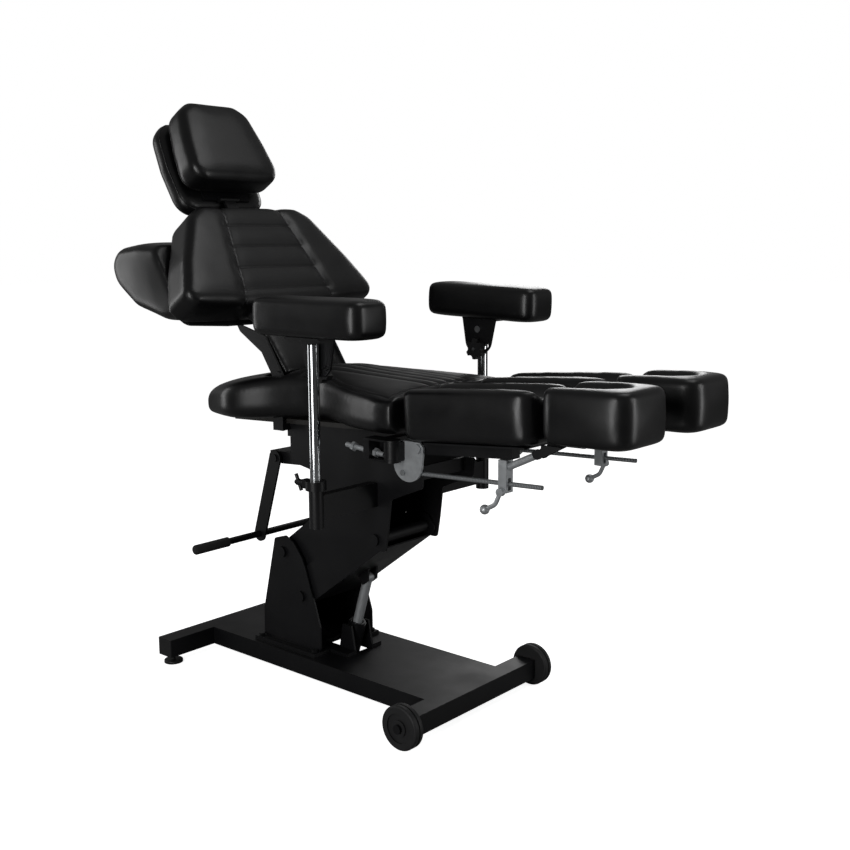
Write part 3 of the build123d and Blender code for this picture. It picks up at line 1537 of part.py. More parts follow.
def leg_lever():
    """The curved lever and its ball, outside the clamp."""
    outer = rod_y - clamp_half_width - face_gap
    mid_y = outer - lever_hub_width / 2
    z = lever_z()
    hub = cross_rod(clamp_x, z, outer - lever_hub_width, outer, lever_hub_radius)
    hub -= cross_rod(clamp_x, z, outer - lever_hub_width - overrun, outer + overrun,
                     lever_screw_radius + fit_gap)
    ball = (clamp_x + lever_reach_x, z + lever_reach_z)
    bend = (clamp_x + lever_reach_x * lever_bend_x_share, z + lever_reach_z * lever_bend_z_share)
    lean = Vector(bend[0] - clamp_x, bend[1] - z).normalized() * (lever_hub_radius - lever_bar_radius / 2)
    path = FilletPolyline((clamp_x + lean.X, z + lean.Y), bend, ball, radius=lever_bend_radius)
    arm = Pos(0, mid_y, 0) * (Plane.XZ * sweep(Plane(origin=path @ 0, z_dir=path % 0)
                                               * Circle(lever_bar_radius), path))
    knob = Pos(ball[0], mid_y, ball[1]) * Rot(90, 0, 0) * Sphere(lever_ball_radius)
    return hub + (arm + knob)


def foot_bracket():
    """The black bracket under the foot pad, hinged on the link tube's end."""
    top = -soft_gap
    low = top - bracket_thickness
    half = bracket_plate_width / 2
    mid_y = rod_y - leg_mid_y
    sheet = block(0, bracket_plate_length, -half, half, low, top)
    wide = link_tube_radius + face_gap
    cheek_low = wide
    cheek_high = wide + bracket_cheek
    cheek = foot_cheek(rod_y + cheek_low, rod_y + cheek_high)
    other = foot_cheek(rod_y - cheek_high, rod_y - cheek_low)
    pin = cross_rod(link_end_x, link_end_z, rod_y - cheek_high, rod_y + cheek_high, bracket_pin_radius)
    return foot_plane * sheet + cheek + other + pin


def foot_cheek(y_low, y_high):
    """A cheek from the link's end to the bracket's plate."""
    top = foot_low_z - soft_gap - bracket_thickness / 2
    radius = bracket_barrel_radius
    heel_x = foot_x + soft_gap
    front_x = foot_x + bracket_plate_length / 2
    points = [(link_end_x, link_end_z - radius), (front_x, top - bracket_thickness / 2),
              (front_x, top), (heel_x, top), (heel_x, link_end_z + radius),
              (link_end_x + radius / 2, link_end_z + radius * bracket_heel_share)]
    return sharp_plate(points, y_low, y_high) + cross_rod(link_end_x, link_end_z, y_low, y_high, radius)


def main():
    """Write every piece."""
    os.makedirs("parts", exist_ok=True)
    save("rear_tube", rear_tube())
    save("front_tube", front_tube())
    save("base_channel", base_channel())
    save("tube_caps", tube_caps())
    save("column", column())
    save("base_fasteners", column_pins() + base_bolts())
    save("wheel_near", wheel())
    save("wheel_far", far(wheel()))
    save("level_foot_near", level_foot())
    save("level_foot_far", far(level_foot()))
    save("lift_cylinder", lift_cylinder())
    save("lift_ram", lift_ram())
    save("lower_arm", lower_arm())
    save("upper_arm", upper_arm())
    save("carriage", carriage())
    save("control_bar", control_bar())
    save("bar_grip", bar_grip())
    save("seat_frame", seat_frame())
    save("stop_screws", both(stop_screw()))
    save("seat_board", seat_board())
    save("seat_cushion", seat_cushion())
    save("back_frame", back_frame())
    save("back_cushion", back_cushion())
    save("rear_bolster", rear_bolster())
    save("head_bar", head_bar())
    save("head_plate", head_plate())
    save("head_pad", head_pad())
    save("head_pad_rear", head_pad_rear())
    for side in ("near", "far"):
        raise_by = 0 if side == "near" else far_arm_raise
        tilt = 0 if side == "near" else far_arm_tilt
        forward = Pos(0 if side == "near" else far_arm_forward, 0, 0)
        pieces = {
            "arm_carrier": forward * arm_carrier(), "post_collar": forward * post_collar(),
            "collar_handle": forward * collar_handle(), "arm_post": forward * arm_post(raise_by),
            "tilt_plate": forward * tilt_plate(raise_by, tilt),
            "arm_pad": forward * arm_pad(raise_by, tilt), "arm_knob": forward * arm_knob(raise_by),
            "knee_block": knee_block(), "knee_quadrant": knee_quadrant(), "leg_rail": leg_rail(),
            "calf_pad": calf_pad(), "stay_rod": stay_rod(), "leg_fittings": leg_fittings(),
            "leg_lever": leg_lever(), "foot_bracket": foot_bracket(), "foot_pad": foot_pad(),
        }
        for name, shape in pieces.items():
            placed = shape if side == "near" else far(shape)
            save(name + "_" + side, placed)


main()
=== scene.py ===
# %% [markdown]
# # A tattoo chair, dressed in Blender
# The chair's metalwork comes ready made from its CAD model. This file gives each metal, plastic
# and rubber piece its finish, sews the cushions, and sets up the light and the camera.

# %% The frame and a few measures
import bpy
import json
import math
import numpy as np
from mathutils import Matrix, Vector
from mathutils.bvhtree import BVHTree
from mathutils.kdtree import KDTree

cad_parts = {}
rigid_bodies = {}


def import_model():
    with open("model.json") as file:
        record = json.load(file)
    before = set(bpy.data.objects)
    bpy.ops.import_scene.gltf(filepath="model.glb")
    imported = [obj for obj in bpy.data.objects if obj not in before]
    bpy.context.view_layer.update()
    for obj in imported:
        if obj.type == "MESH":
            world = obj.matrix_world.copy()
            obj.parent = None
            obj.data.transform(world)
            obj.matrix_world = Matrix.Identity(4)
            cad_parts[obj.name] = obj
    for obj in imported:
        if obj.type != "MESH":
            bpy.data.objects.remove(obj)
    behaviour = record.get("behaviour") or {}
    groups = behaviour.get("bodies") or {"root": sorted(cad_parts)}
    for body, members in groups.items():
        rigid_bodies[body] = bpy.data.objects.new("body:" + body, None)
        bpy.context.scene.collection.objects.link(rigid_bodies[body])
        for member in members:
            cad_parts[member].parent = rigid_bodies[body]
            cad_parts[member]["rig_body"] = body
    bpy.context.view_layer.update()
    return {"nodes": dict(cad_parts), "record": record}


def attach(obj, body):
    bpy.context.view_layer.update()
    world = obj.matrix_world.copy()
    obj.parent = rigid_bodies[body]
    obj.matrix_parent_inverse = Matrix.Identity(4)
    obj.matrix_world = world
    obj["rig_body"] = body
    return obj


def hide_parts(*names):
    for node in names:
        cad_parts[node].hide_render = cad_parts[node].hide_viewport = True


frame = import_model()
nodes = frame["nodes"]
MM = 0.001
SHIFT = 216.6
GRAIN_MM = 3.2


def place(x, y, z):
    """A point in metres from millimetres measured off the front tube's rear face."""
    return Vector(((x + SHIFT) * MM, y * MM, z * MM))


# %% [markdown]
# ## Colours and nodes
# Paint charts give colours as sRGB hex values, but a renderer adds light, so it wants linear
# values. One function turns one into the other. Another adds a node with its settings and its
# links, because every material below is a short chain of nodes.

# %% Colour and node helpers
def linear(hex_text):
    """Linear RGBA from an sRGB hex value."""
    channels = [int(hex_text[i:i + 2], 16) / 255 for i in (1, 3, 5)]
    return [c / 12.92 if c <= 0.04045 else ((c + 0.055) / 1.055) ** 2.4 for c in channels] + [1]


def add(tree, kind, inputs=None, **settings):
    """Add a node, set it, and link or fill its inputs."""
    node = tree.nodes.new(kind)
    for key, value in settings.items():
        setattr(node, key, value)
    for key, value in (inputs or {}).items():
        if isinstance(value, bpy.types.NodeSocket):
            tree.links.new(value, node.inputs[key])
        else:
            node.inputs[key].default_value = value
    return node


def finish_of(name, colour, roughness, metallic=0.0, specular=0.5):
    """A material with one shader, and the object's own coordinates in metres."""
    material = bpy.data.materials.new(name)
    material.use_nodes = True
    tree = material.node_tree
    shader = tree.nodes["Principled BSDF"]
    shader.inputs["Base Color"].default_value = linear(colour)
    shader.inputs["Roughness"].default_value = roughness
    shader.inputs["Metallic"].default_value = metallic
    shader.inputs["Specular IOR Level"].default_value = specular
    coordinates = add(tree, "ShaderNodeTexCoord").outputs["Object"]
    return material, tree, shader, coordinates


def per_metre(size_mm):
    """A pattern's scale from the real size of one repeat."""
    return 1 / (size_mm * MM)


def relief(tree, shader, layers):
    """Chain height patterns, each with its depth in millimetres, into the shader's normal."""
    normal = None
    for height, depth_mm, strength in layers:
        inputs = {"Height": height, "Distance": depth_mm * MM, "Strength": strength}
        if normal:
            inputs["Normal"] = normal
        normal = add(tree, "ShaderNodeBump", inputs).outputs["Normal"]
    tree.links.new(normal, shader.inputs["Normal"])


def spread_roughness(tree, shader, pattern, low, high):
    """Let the roughness wander between two values."""
    ramp = add(tree, "ShaderNodeMapRange", {"Value": pattern, "From Min": 0.3, "From Max": 0.7,
                                            "To Min": low, "To Max": high})
    tree.links.new(ramp.outputs["Result"], shader.inputs["Roughness"])


# %% [markdown]
# ## Upholstery vinyl
# The cushions wear black PVC vinyl on a knitted backing, embossed with a leather grain and
# polished by its rollers. The grain is about a millimetre across on the real cloth, and is drawn
# three times as coarse here so that it shows. A second, slow pattern is the foam below, which
# makes long highlights waver a little. The quilted panels are a matt grade of the same vinyl,
# drawn a shade lighter as painted sheen from the overhead softbox.

# %% Upholstery vinyl
def vinyl(name, colour, low, high, specular):
    """Embossed PVC with grain, faint foam waves and patches that people have polished."""
    material, tree, shader, spot = finish_of(name, colour, low, specular=specular)
    grain = add(tree, "ShaderNodeTexVoronoi", {"Vector": spot, "Scale": per_metre(GRAIN_MM)},
                feature="SMOOTH_F1")
    foam = add(tree, "ShaderNodeTexNoise", {"Vector": spot, "Scale": per_metre(120), "Detail": 1.0})
    wear = add(tree, "ShaderNodeTexNoise", {"Vector": spot, "Scale": per_metre(70), "Detail": 3.0})
    spread_roughness(tree, shader, wear.outputs["Fac"], low, high)
    relief(tree, shader, [(foam.outputs["Fac"], 1.0, 0.2), (grain.outputs["Distance"], 0.25, 0.25)])
    return material


upholstery_vinyl = vinyl("upholstery_vinyl", "#070708", 0.3, 0.38, 0.42)
# The quilted grade is matt, and its lighter colour is painted sheen from the overhead softbox.
quilted_vinyl_painted_sheen = vinyl("quilted_vinyl_painted_sheen", "#0e0e0f", 0.46, 0.54, 0.36)
print("vinyl grain scale per metre", per_metre(GRAIN_MM))

# %% [markdown]
# ## Powder coat
# The frame is welded steel under a satin black polyester powder coat. The powder melts in an
# oven and sets with a fine orange peel, which breaks reflections up. Corners that get knocked
# turn a little brighter on the real frame; here only the roughness wanders, in slow random patches.

# %% Powder coat
def powder_coat():
    """Satin black polyester powder with orange peel."""
    material, tree, shader, spot = finish_of("satin_powder_coat", "#08080a", 0.42, specular=0.28)
    peel = add(tree, "ShaderNodeTexNoise", {"Vector": spot, "Scale": per_metre(2.6), "Detail": 2.0})
    cloud = add(tree, "ShaderNodeTexNoise", {"Vector": spot, "Scale": per_metre(120), "Detail": 4.0})
    spread_roughness(tree, shader, cloud.outputs["Fac"], 0.36, 0.5)
    relief(tree, shader, [(peel.outputs["Fac"], 0.12, 0.35)])
    return material


satin_powder_coat = powder_coat()

# %% [markdown]
# ## Bright metals
# The armrest posts are chromed: a hard mirror with hardly a mark. The quadrants, the stop screws
# and the lift ram are electroplated zinc, which is duller and blotchy. The stay rods are ground
# bright steel, with faint rings round them from the grinding wheel. Real zinc and steel are fully
# metallic. They are set below that here, only because this dim studio gives them little to mirror.

# %% Bright metals
def chrome():
    """Hard chrome over polished steel."""
    material, tree, shader, spot = finish_of("hard_chrome", "#d0d3d5", 0.08, metallic=1.0)
    haze = add(tree, "ShaderNodeTexNoise", {"Vector": spot, "Scale": per_metre(14), "Detail": 5.0})
    spread_roughness(tree, shader, haze.outputs["Fac"], 0.06, 0.14)
    return material


def zinc():
    """Electroplated zinc, dull and a little blotchy."""
    material, tree, shader, spot = finish_of("zinc_plate", "#a6a9ab", 0.4, metallic=0.6)
    blotch = add(tree, "ShaderNodeTexNoise", {"Vector": spot, "Scale": per_metre(9), "Detail": 6.0})
    spread_roughness(tree, shader, blotch.outputs["Fac"], 0.3, 0.5)
    relief(tree, shader, [(blotch.outputs["Fac"], 0.08, 0.3)])
    return material


def ground_steel():
    """Bright steel bar with grinding rings along X."""
    material, tree, shader, spot = finish_of("ground_steel", "#9ea1a3", 0.25, metallic=0.75)
    rings = add(tree, "ShaderNodeTexWave", {"Vector": spot, "Scale": per_metre(2.2) / 6,
                                            "Distortion": 0.6}, bands_direction="X")
    spread_roughness(tree, shader, rings.outputs["Fac"], 0.2, 0.32)
    relief(tree, shader, [(rings.outputs["Fac"], 0.03, 0.4)])
    return material


hard_chrome = chrome()
zinc_plate = zinc()
bright_steel = ground_steel()

# %% [markdown]
# ## Rubber, plastics and board
# The wheels are solid black rubber, the grip on the control bar is foam rubber, and the knobs,
# caps and levelling feet are moulded nylon with a spark-eroded texture. The board below the
# seat is plywood under black paint, with the grain just showing.

# %% Rubber, plastics and board
def matt(name, colour, roughness, speck_mm, depth_mm):
    """A dull moulded surface with a fine speckle."""
    material, tree, shader, spot = finish_of(name, colour, roughness, specular=0.4)
    speck = add(tree, "ShaderNodeTexNoise", {"Vector": spot, "Scale": per_metre(speck_mm),
                                             "Detail": 3.0})
    dust = add(tree, "ShaderNodeTexNoise", {"Vector": spot, "Scale": per_metre(25), "Detail": 5.0})
    spread_roughness(tree, shader, dust.outputs["Fac"], roughness - 0.08, roughness + 0.1)
    relief(tree, shader, [(speck.outputs["Fac"], depth_mm, 0.4)])
    return material


solid_rubber = matt("solid_rubber", "#131314", 0.6, 2.5, 0.15)
foam_rubber = matt("foam_rubber", "#101010", 0.78, 1.8, 0.25)
moulded_nylon = matt("moulded_nylon", "#111112", 0.45, 1.6, 0.08)
painted_plywood = matt("painted_plywood", "#181614", 0.6, 4.0, 0.12)
sewing_thread = matt("sewing_thread", "#1e1e20", 0.55, 1.0, 0.2)

# %% [markdown]
# ## Finishes on the CAD pieces
# A CAD piece already has its true shape, so it only needs its finish. The record says which
# slot each one takes, and a table turns slots into the materials above. The leg fittings and
# their levers are an exception: the record and the photograph have them in chrome, but chrome
# came out too dark in this light, so they wear zinc plate here. That is a fault of this scene.

# %% Finishes on the CAD pieces
FINISHES = {
    "frame_black": satin_powder_coat, "vinyl": upholstery_vinyl, "chrome": hard_chrome,
    "zinc": zinc_plate, "rubber": foam_rubber, "tyre": solid_rubber, "plastic": moulded_nylon,
    "board": painted_plywood, "steel": bright_steel,
}
for part in frame["record"]["subparts"]:
    mesh = nodes[part["node"]].data
    mesh.materials.clear()
    mesh.materials.append(FINISHES[part["material_slot"]])
for side in ("near", "far"):
    for name in ("leg_fittings_", "leg_lever_"):
        nodes[name + side].data.materials[0] = zinc_plate


# %% [markdown]
# ## Sewing a cushion
# A cushion here is foam under stretched vinyl. Its CAD solid has the right outline, so the
# cushion starts as a copy of it, evened out into small square faces and drawn in a little. Then
# a short cloth simulation blows it up against its own skin, which crowns the flat faces and
# softens the edges as foam does. How far a point may move is capped, so that a cushion goes
# less than two millimetres past its solid's box. Subdivision comes last, and gives the seams
# enough points to sink into.

# %% Cushion helpers
def baked(piece):
    """Replace the mesh with what its modifiers make of it."""
    graph = bpy.context.evaluated_depsgraph_get()
    made = bpy.data.meshes.new_from_object(piece.evaluated_get(graph))
    piece.modifiers.clear()
    piece.data = made


def corners_of(piece):
    """The mesh's points as an array."""
    flat = np.zeros(len(piece.data.vertices) * 3)
    piece.data.vertices.foreach_get("co", flat)
    return flat.reshape(-1, 3)


def normals_of(piece):
    """The mesh's point normals as an array."""
    flat = np.zeros(len(piece.data.vertices) * 3)
    piece.data.vertices.foreach_get("normal", flat)
    return flat.reshape(-1, 3)


def move_corners(piece, points):
    """Put the mesh's points where the array says."""
    piece.data.vertices.foreach_set("co", points.ravel())
    piece.data.update()


def modify(piece, kind, **settings):
    """Add a modifier and bake it in."""
    modifier = piece.modifiers.new(kind.lower(), kind)
    for key, value in settings.items():
        setattr(modifier, key, value)
    baked(piece)


def evened(piece, values, rounds):
    """Values at the mesh's points, averaged with their neighbours again and again."""
    ends = np.array([e.vertices[:] for e in piece.data.edges])
    here, there = np.concatenate([ends, ends[:, ::-1]]).T
    count = np.bincount(here, minlength=len(values))
    for step in range(rounds):
        values = (values + np.bincount(here, values[there], len(values)) / count) / 2
    return values


CLOTH_FRAMES = 20
EVENING_ROUNDS = 60


def inflate(piece, cap_mm, pressure):
    """Blow the cushion up as cloth, and let taut vinyl even out how far each point went."""
    start = corners_of(piece)
    outward = normals_of(piece)
    cloth = piece.modifiers.new("cloth", "CLOTH")
    cloth.settings.use_pressure = True
    cloth.settings.uniform_pressure_force = pressure
    cloth.settings.effector_weights.gravity = 0
    cloth.point_cache.frame_end = CLOTH_FRAMES
    for step in range(1, CLOTH_FRAMES + 1):
        bpy.context.scene.frame_set(step)
    graph = bpy.context.evaluated_depsgraph_get()
    swollen = np.zeros(len(start) * 3)
    piece.evaluated_get(graph).data.vertices.foreach_get("co", swollen)
    piece.modifiers.clear()
    bpy.context.scene.frame_set(1)
    rise = np.sum((swollen.reshape(-1, 3) - start) * outward, axis=1)
    rise = evened(piece, np.clip(rise, 0, cap_mm * MM), EVENING_ROUNDS)
    move_corners(piece, start + outward * rise[:, None])
    return float(np.mean(rise) / MM)


def cushion(name, node, voxel_mm, draw_mm, cap_mm, pressure=4.0):
    """Sew one cushion over the CAD solid that it stands for."""
    piece = bpy.data.objects.new(name, nodes[node].data.copy())
    bpy.context.scene.collection.objects.link(piece)
    modify(piece, "REMESH", mode="VOXEL", voxel_size=voxel_mm * MM)
    modify(piece, "SMOOTH", factor=0.5, iterations=6)
    move_corners(piece, corners_of(piece) - normals_of(piece) * draw_mm * MM)
    grown = inflate(piece, cap_mm, pressure)
    modify(piece, "SMOOTH", factor=0.5, iterations=9)
    modify(piece, "SUBSURF", levels=1, render_levels=1)
    piece.data.materials.clear()
    piece.data.materials.append(upholstery_vinyl)
    # The second slot is the quilted vinyl, whose lighter colour is painted sheen from the overhead softbox.
    piece.data.materials.append(quilted_vinyl_painted_sheen)
    for polygon in piece.data.polygons:
        polygon.material_index = 0
        polygon.use_smooth = True
    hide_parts(node)
    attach(piece, nodes[node]["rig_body"])
    print(name, "points", len(piece.data.vertices), "swelled by", round(grown, 1), "mm")
    return piece


# %% [markdown]
# ## Seams
# A seam pulls the vinyl down into the foam, so a seam is a line along which the surface sinks:
# sharply at the stitches, and gently for a few centimetres round them. Doing this to the mesh,
# and not only in the material, gives seams that catch the light from any side. A topstitch is a
# row of short threads that lie on the surface beside the seam.

# %% Seam helpers
class Skin:
    """The cushion's surface, for finding the nearest point on it."""

    def __init__(self, piece):
        points = [v.co.copy() for v in piece.data.vertices]
        self.tree = BVHTree.FromPolygons(points, [p.vertices[:] for p in piece.data.polygons])

    def drop(self, points):
        """The nearest surface point and normal to each point."""
        found = [self.tree.find_nearest(p) for p in points]
        return [(spot, normal) for spot, normal, face, away in found]

    def cast(self, points, direction):
        """Where rays from the points meet the surface."""
        found = [self.tree.ray_cast(p, direction) for p in points]
        return [(spot, normal) for spot, normal, face, away in found if spot]


def dense(points, step_mm=2.0, closed=False):
    """Points every few millimetres along a line of straight runs."""
    line = list(points) + ([points[0]] if closed else [])
    made = []
    for start, end in zip(line, line[1:]):
        count = max(1, int((end - start).length / (step_mm * MM)))
        made += [start.lerp(end, i / count) for i in range(count)]
    return made + ([] if closed else [line[-1]])


def sink(piece, lines, sharp_mm, depth_mm, soft_mm, soft_depth_mm):
    """Sink the surface along seam lines, sharply near them and softly further off."""
    spots = [spot for line in lines for spot in line]
    tree = KDTree(len(spots))
    for i, spot in enumerate(spots):
        tree.insert(spot, i)
    tree.balance()
    points = corners_of(piece)
    normals = normals_of(piece)
    away = np.array([tree.find(Vector(p))[2] for p in points]) / MM
    drop = depth_mm * np.exp(-(away / sharp_mm) ** 2) + soft_depth_mm * np.exp(-(away / soft_mm) ** 2)
    move_corners(piece, points - normals * drop[:, None] * MM)


def stitches(name, rows, body, length_mm=4.2, gap_mm=2.2, thick_mm=0.9):
    """Short threads along rows of surface points and normals."""
    corners, faces = [], []
    for row in rows:
        travelled = 0.0
        start = None
        for (spot, normal), (after, next_normal) in zip(row, row[1:]):
            if start is None:
                start = (spot, normal)
            travelled += (after - spot).length / MM
            if travelled < length_mm:
                continue
            if travelled < length_mm + gap_mm and start:
                along = (after - start[0])
                if along.length > 1e-6:
                    side = along.cross(normal).normalized() * thick_mm * MM / 2
                    lift = normal * thick_mm * MM
                    base = len(corners)
                    for end in (start[0], after):
                        corners += [end - side, end + side, end + side * 0.4 + lift * 0.6,
                                    end - side * 0.4 + lift * 0.6]
                    faces += [(base + a, base + b, base + b + 4, base + a + 4)
                              for a, b in ((0, 1), (1, 2), (2, 3), (3, 0))]
                    faces += [(base, base + 3, base + 2, base + 1), (base + 4, base + 5, base + 6, base + 7)]
                start = (Vector(after) + along.normalized() * gap_mm * MM, next_normal)
                travelled = -gap_mm
    mesh = bpy.data.meshes.new(name)
    mesh.from_pydata([tuple(c) for c in corners], [], faces)
    mesh.materials.append(sewing_thread)
    threads = bpy.data.objects.new(name, mesh)
    bpy.context.scene.collection.objects.link(threads)
    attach(threads, body)
    return threads


def welt(name, ring, body, radius_mm=1.8):
    """A piped edge along a closed row of surface points and normals."""
    corners, faces = [], []
    around = 8
    count = len(ring)
    for i, (spot, normal) in enumerate(ring):
        along = (ring[(i + 1) % count][0] - ring[i - 1][0]).normalized()
        side = along.cross(normal).normalized()
        for k in range(around):
            turn = 2 * math.pi * k / around
            corners.append(spot + (side * math.cos(turn) + normal * math.sin(turn)) * radius_mm * MM)
    for i in range(count):
        for k in range(around):
            here, after = i * around, (i + 1) % count * around
            faces.append((here + k, here + (k + 1) % around, after + (k + 1) % around, after + k))
    mesh = bpy.data.meshes.new(name)
    mesh.from_pydata([tuple(c) for c in corners], [], faces)
    mesh.materials.append(upholstery_vinyl)
    for polygon in mesh.polygons:
        polygon.use_smooth = True
    piping = bpy.data.objects.new(name, mesh)
    bpy.context.scene.collection.objects.link(piping)
    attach(piping, body)
    return piping


def panel(piece, inside, facing):
    """Give a panel's faces that look along facing the quilted vinyl, whose lighter colour is painted sheen.
    """
    for polygon in piece.data.polygons:
        # Only faces turned towards the lamps get the lighter vinyl: painted sheen.
        if polygon.normal.dot(facing) > 0.4 and inside(polygon.center):
            polygon.material_index = 1


# %% [markdown]
# ## The seat
# The seat narrows to a waist where the back rises, and swells again into a rear saddle. Its top
# panel is quilted lengthwise, in flatter vinyl drawn lighter as painted sheen, with a border seam
# round it. The back's neck stands in a trough that the CAD solid already has.

# %% The seat
SEAT_REAR, SEAT_LENGTH, SEAT_HALF = -860.0, 850.0, 244.0
SEAT_SHARES = [(0.494, 0.566), (0.571, 0.516), (0.647, 0.598), (0.717, 0.73), (0.8, 0.852),
               (0.883, 0.939), (0.964, 0.996), (1.0, 0.99)]
QUILT_SHARES = (-0.3, -0.15, 0.0, 0.15, 0.3)
PANEL_REAR, PANEL_FRONT, ABOVE = -452, -12, 900
BORDER_INSET, PANEL_INSET, REAR_INSET = 22, 24, 20
CHANNEL_ENDS = (PANEL_REAR + BORDER_INSET, PANEL_FRONT - PANEL_INSET)
DOWN = Vector((0, 0, -1))


def seat_half(x):
    """Half the seat's width at a place along it."""
    along = (x - SEAT_REAR) / SEAT_LENGTH
    places = [s[0] for s in SEAT_SHARES]
    return float(np.interp(along, places, [s[1] for s in SEAT_SHARES])) * SEAT_HALF


seat = cushion("seat_cushion_sewn", "seat_cushion", 7.0, draw_mm=4.0, cap_mm=5.5)
seat_skin = Skin(seat)


def seat_border(inset_mm):
    """A closed line inside the seat's outline, high above it."""
    run = np.linspace(PANEL_REAR + inset_mm, PANEL_FRONT - inset_mm, 60)
    near = [place(x, inset_mm - seat_half(x), ABOVE) for x in run]
    return near + [place(x, seat_half(x) - inset_mm, ABOVE) for x in run[::-1]]


def in_seat_panel(spot):
    """Whether a point lies inside the border seam."""
    x = spot.x / MM - SHIFT
    inside_ends = PANEL_REAR + REAR_INSET < x < PANEL_FRONT - BORDER_INSET
    return inside_ends and abs(spot.y) / MM < seat_half(x) - PANEL_INSET


border_line = [s for s, n in seat_skin.cast(dense(seat_border(BORDER_INSET), closed=True), DOWN)]
quilt_lines = []
for share in QUILT_SHARES:
    run = [place(x, share * SEAT_HALF, ABOVE) for x in CHANNEL_ENDS]
    quilt_lines.append([s for s, n in seat_skin.cast(dense(run), DOWN)])
sink(seat, quilt_lines, sharp_mm=2.2, depth_mm=2.2, soft_mm=13, soft_depth_mm=2.0)
sink(seat, [border_line], sharp_mm=2.2, depth_mm=1.8, soft_mm=12, soft_depth_mm=1.5)
# The panel's up-facing faces take the lighter quilted vinyl: painted sheen from the overhead softbox.
panel(seat, in_seat_panel, -DOWN)
seat_skin = Skin(seat)
seat_rows = [seat_skin.cast(dense(seat_border(inset), closed=True), DOWN) for inset in (16, 28)]
stitches("seat_topstitch", seat_rows, nodes["seat_cushion"]["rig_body"])
print("seat seams", len(quilt_lines) + 1)

# %% [markdown]
# ## The back
# The back is a shield with wings and a narrow neck. Its centre panel is quilted across, between
# two slanting seams, and the wings round off towards the sides.

# %% The back
BACK_RECLINE, NECK_X, NECK_Z, BACK_HIGH, BACK_HALF = 33.8, -500.5, 824.5, 515.0, 342.0
lean = math.radians(BACK_RECLINE)
BACK_UP = Vector((-math.sin(lean), 0, math.cos(lean)))
BACK_OUT = Vector((math.cos(lean), 0, math.sin(lean)))
BEFORE = 100
SEAM_LOW_SHARES, SEAM_HIGH_SHARES = (0.46, 0.4), (0.29, 0.98)


def on_back(across, up, out):
    """A point on the back from shares of its half width and height."""
    return (place(NECK_X, across * BACK_HALF, NECK_Z) + BACK_UP * up * BACK_HIGH * MM
            + BACK_OUT * out * MM)


back = cushion("back_cushion_sewn", "back_cushion", 7.0, draw_mm=3.5, cap_mm=5.0)
back_skin = Skin(back)


def seam_across(up):
    """How far out the slanting seam lies at a height, as a share of the half width."""
    (wide, low_end), (slim, high_end) = SEAM_LOW_SHARES, SEAM_HIGH_SHARES
    return wide + (slim - wide) * (up - low_end) / (high_end - low_end)


back_seams = []
for side in (-1, 1):
    run = [on_back(side * seam_across(up), up, BEFORE) for up in (0.39, 0.985)]
    back_seams.append([s for s, n in back_skin.cast(dense(run), -BACK_OUT)])
back_channels = []
for up in (0.47, 0.6, 0.73, 0.86):
    run = [on_back(side * seam_across(up), up, BEFORE) for side in (-1, 1)]
    back_channels.append([s for s, n in back_skin.cast(dense(run), -BACK_OUT)])
sink(back, back_channels, sharp_mm=2.4, depth_mm=2.6, soft_mm=16, soft_depth_mm=2.6)
sink(back, back_seams, sharp_mm=2.4, depth_mm=3.2, soft_mm=18, soft_depth_mm=3.0)


def in_back_panel(spot):
    """Whether a point lies between the two slanting seams."""
    along = (spot - place(NECK_X, 0, NECK_Z)).dot(BACK_UP) / MM / BACK_HIGH
    return 0.4 < along < 0.985 and abs(spot.y) / MM < seam_across(along) * BACK_HALF - 3


# The panel's forward-facing faces take the lighter quilted vinyl: painted sheen from the overhead softbox.
panel(back, in_back_panel, BACK_OUT)
back_skin = Skin(back)
back_rows = []
for side in (-1, 1):
    for beside in (-0.018, 0.018):
        run = [on_back(side * (seam_across(up) + beside), up, BEFORE) for up in (0.4, 0.98)]
        back_rows.append(back_skin.cast(dense(run), -BACK_OUT))
stitches("back_topstitch", back_rows, nodes["back_cushion"]["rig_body"])

# %% [markdown]
# ## Bolster and headrest
# Behind the back hangs a wedge-shaped bolster. The headrest is two thin pads, one behind the
# other, and each has a welted seam round its edge.

# %% Bolster and headrest
cushion("rear_bolster_sewn", "rear_bolster", 7.0, draw_mm=4.0, cap_mm=6.0)
head_front = cushion("head_pad_sewn", "head_pad", 5.0, draw_mm=4.0, cap_mm=6.0)
head_rear = cushion("head_pad_rear_sewn", "head_pad_rear", 5.0, draw_mm=3.0, cap_mm=4.5)

HEAD_TILT, HEAD_X, HEAD_Z = 30.0, -774.0, 1339.5
tip = math.radians(HEAD_TILT)
HEAD_UP = Vector((-math.sin(tip), 0, math.cos(tip)))
HEAD_OUT = Vector((math.cos(tip), 0, math.sin(tip)))
RING_STEPS = 240


def head_ring(piece, middle_mm, deep_mm):
    """Surface points all round a head pad, at one depth behind its face."""
    middle = place(HEAD_X, 0, HEAD_Z) + HEAD_UP * middle_mm * MM - HEAD_OUT * deep_mm * MM
    skin = Skin(piece)
    ring = []
    for step in range(RING_STEPS):
        turn = 2 * math.pi * step / RING_STEPS
        away = Vector((0, 1, 0)) * math.cos(turn) + HEAD_UP * math.sin(turn)
        ring += skin.cast([middle + away * 0.4], -away)
    return ring


for name, piece, middle_mm, deep_mm in (
        ("head_pad_welt", head_front, 125, 84), ("head_pad_rear_welt", head_rear, 105, 112)):
    welt(name, head_ring(piece, middle_mm, deep_mm), nodes["head_pad"]["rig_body"])

# %% [markdown]
# ## Armrests, calf pads and foot pads
# These are simple rounded blocks. The calf pads have a gutter for the leg, and the foot pads a
# rim round the heel.

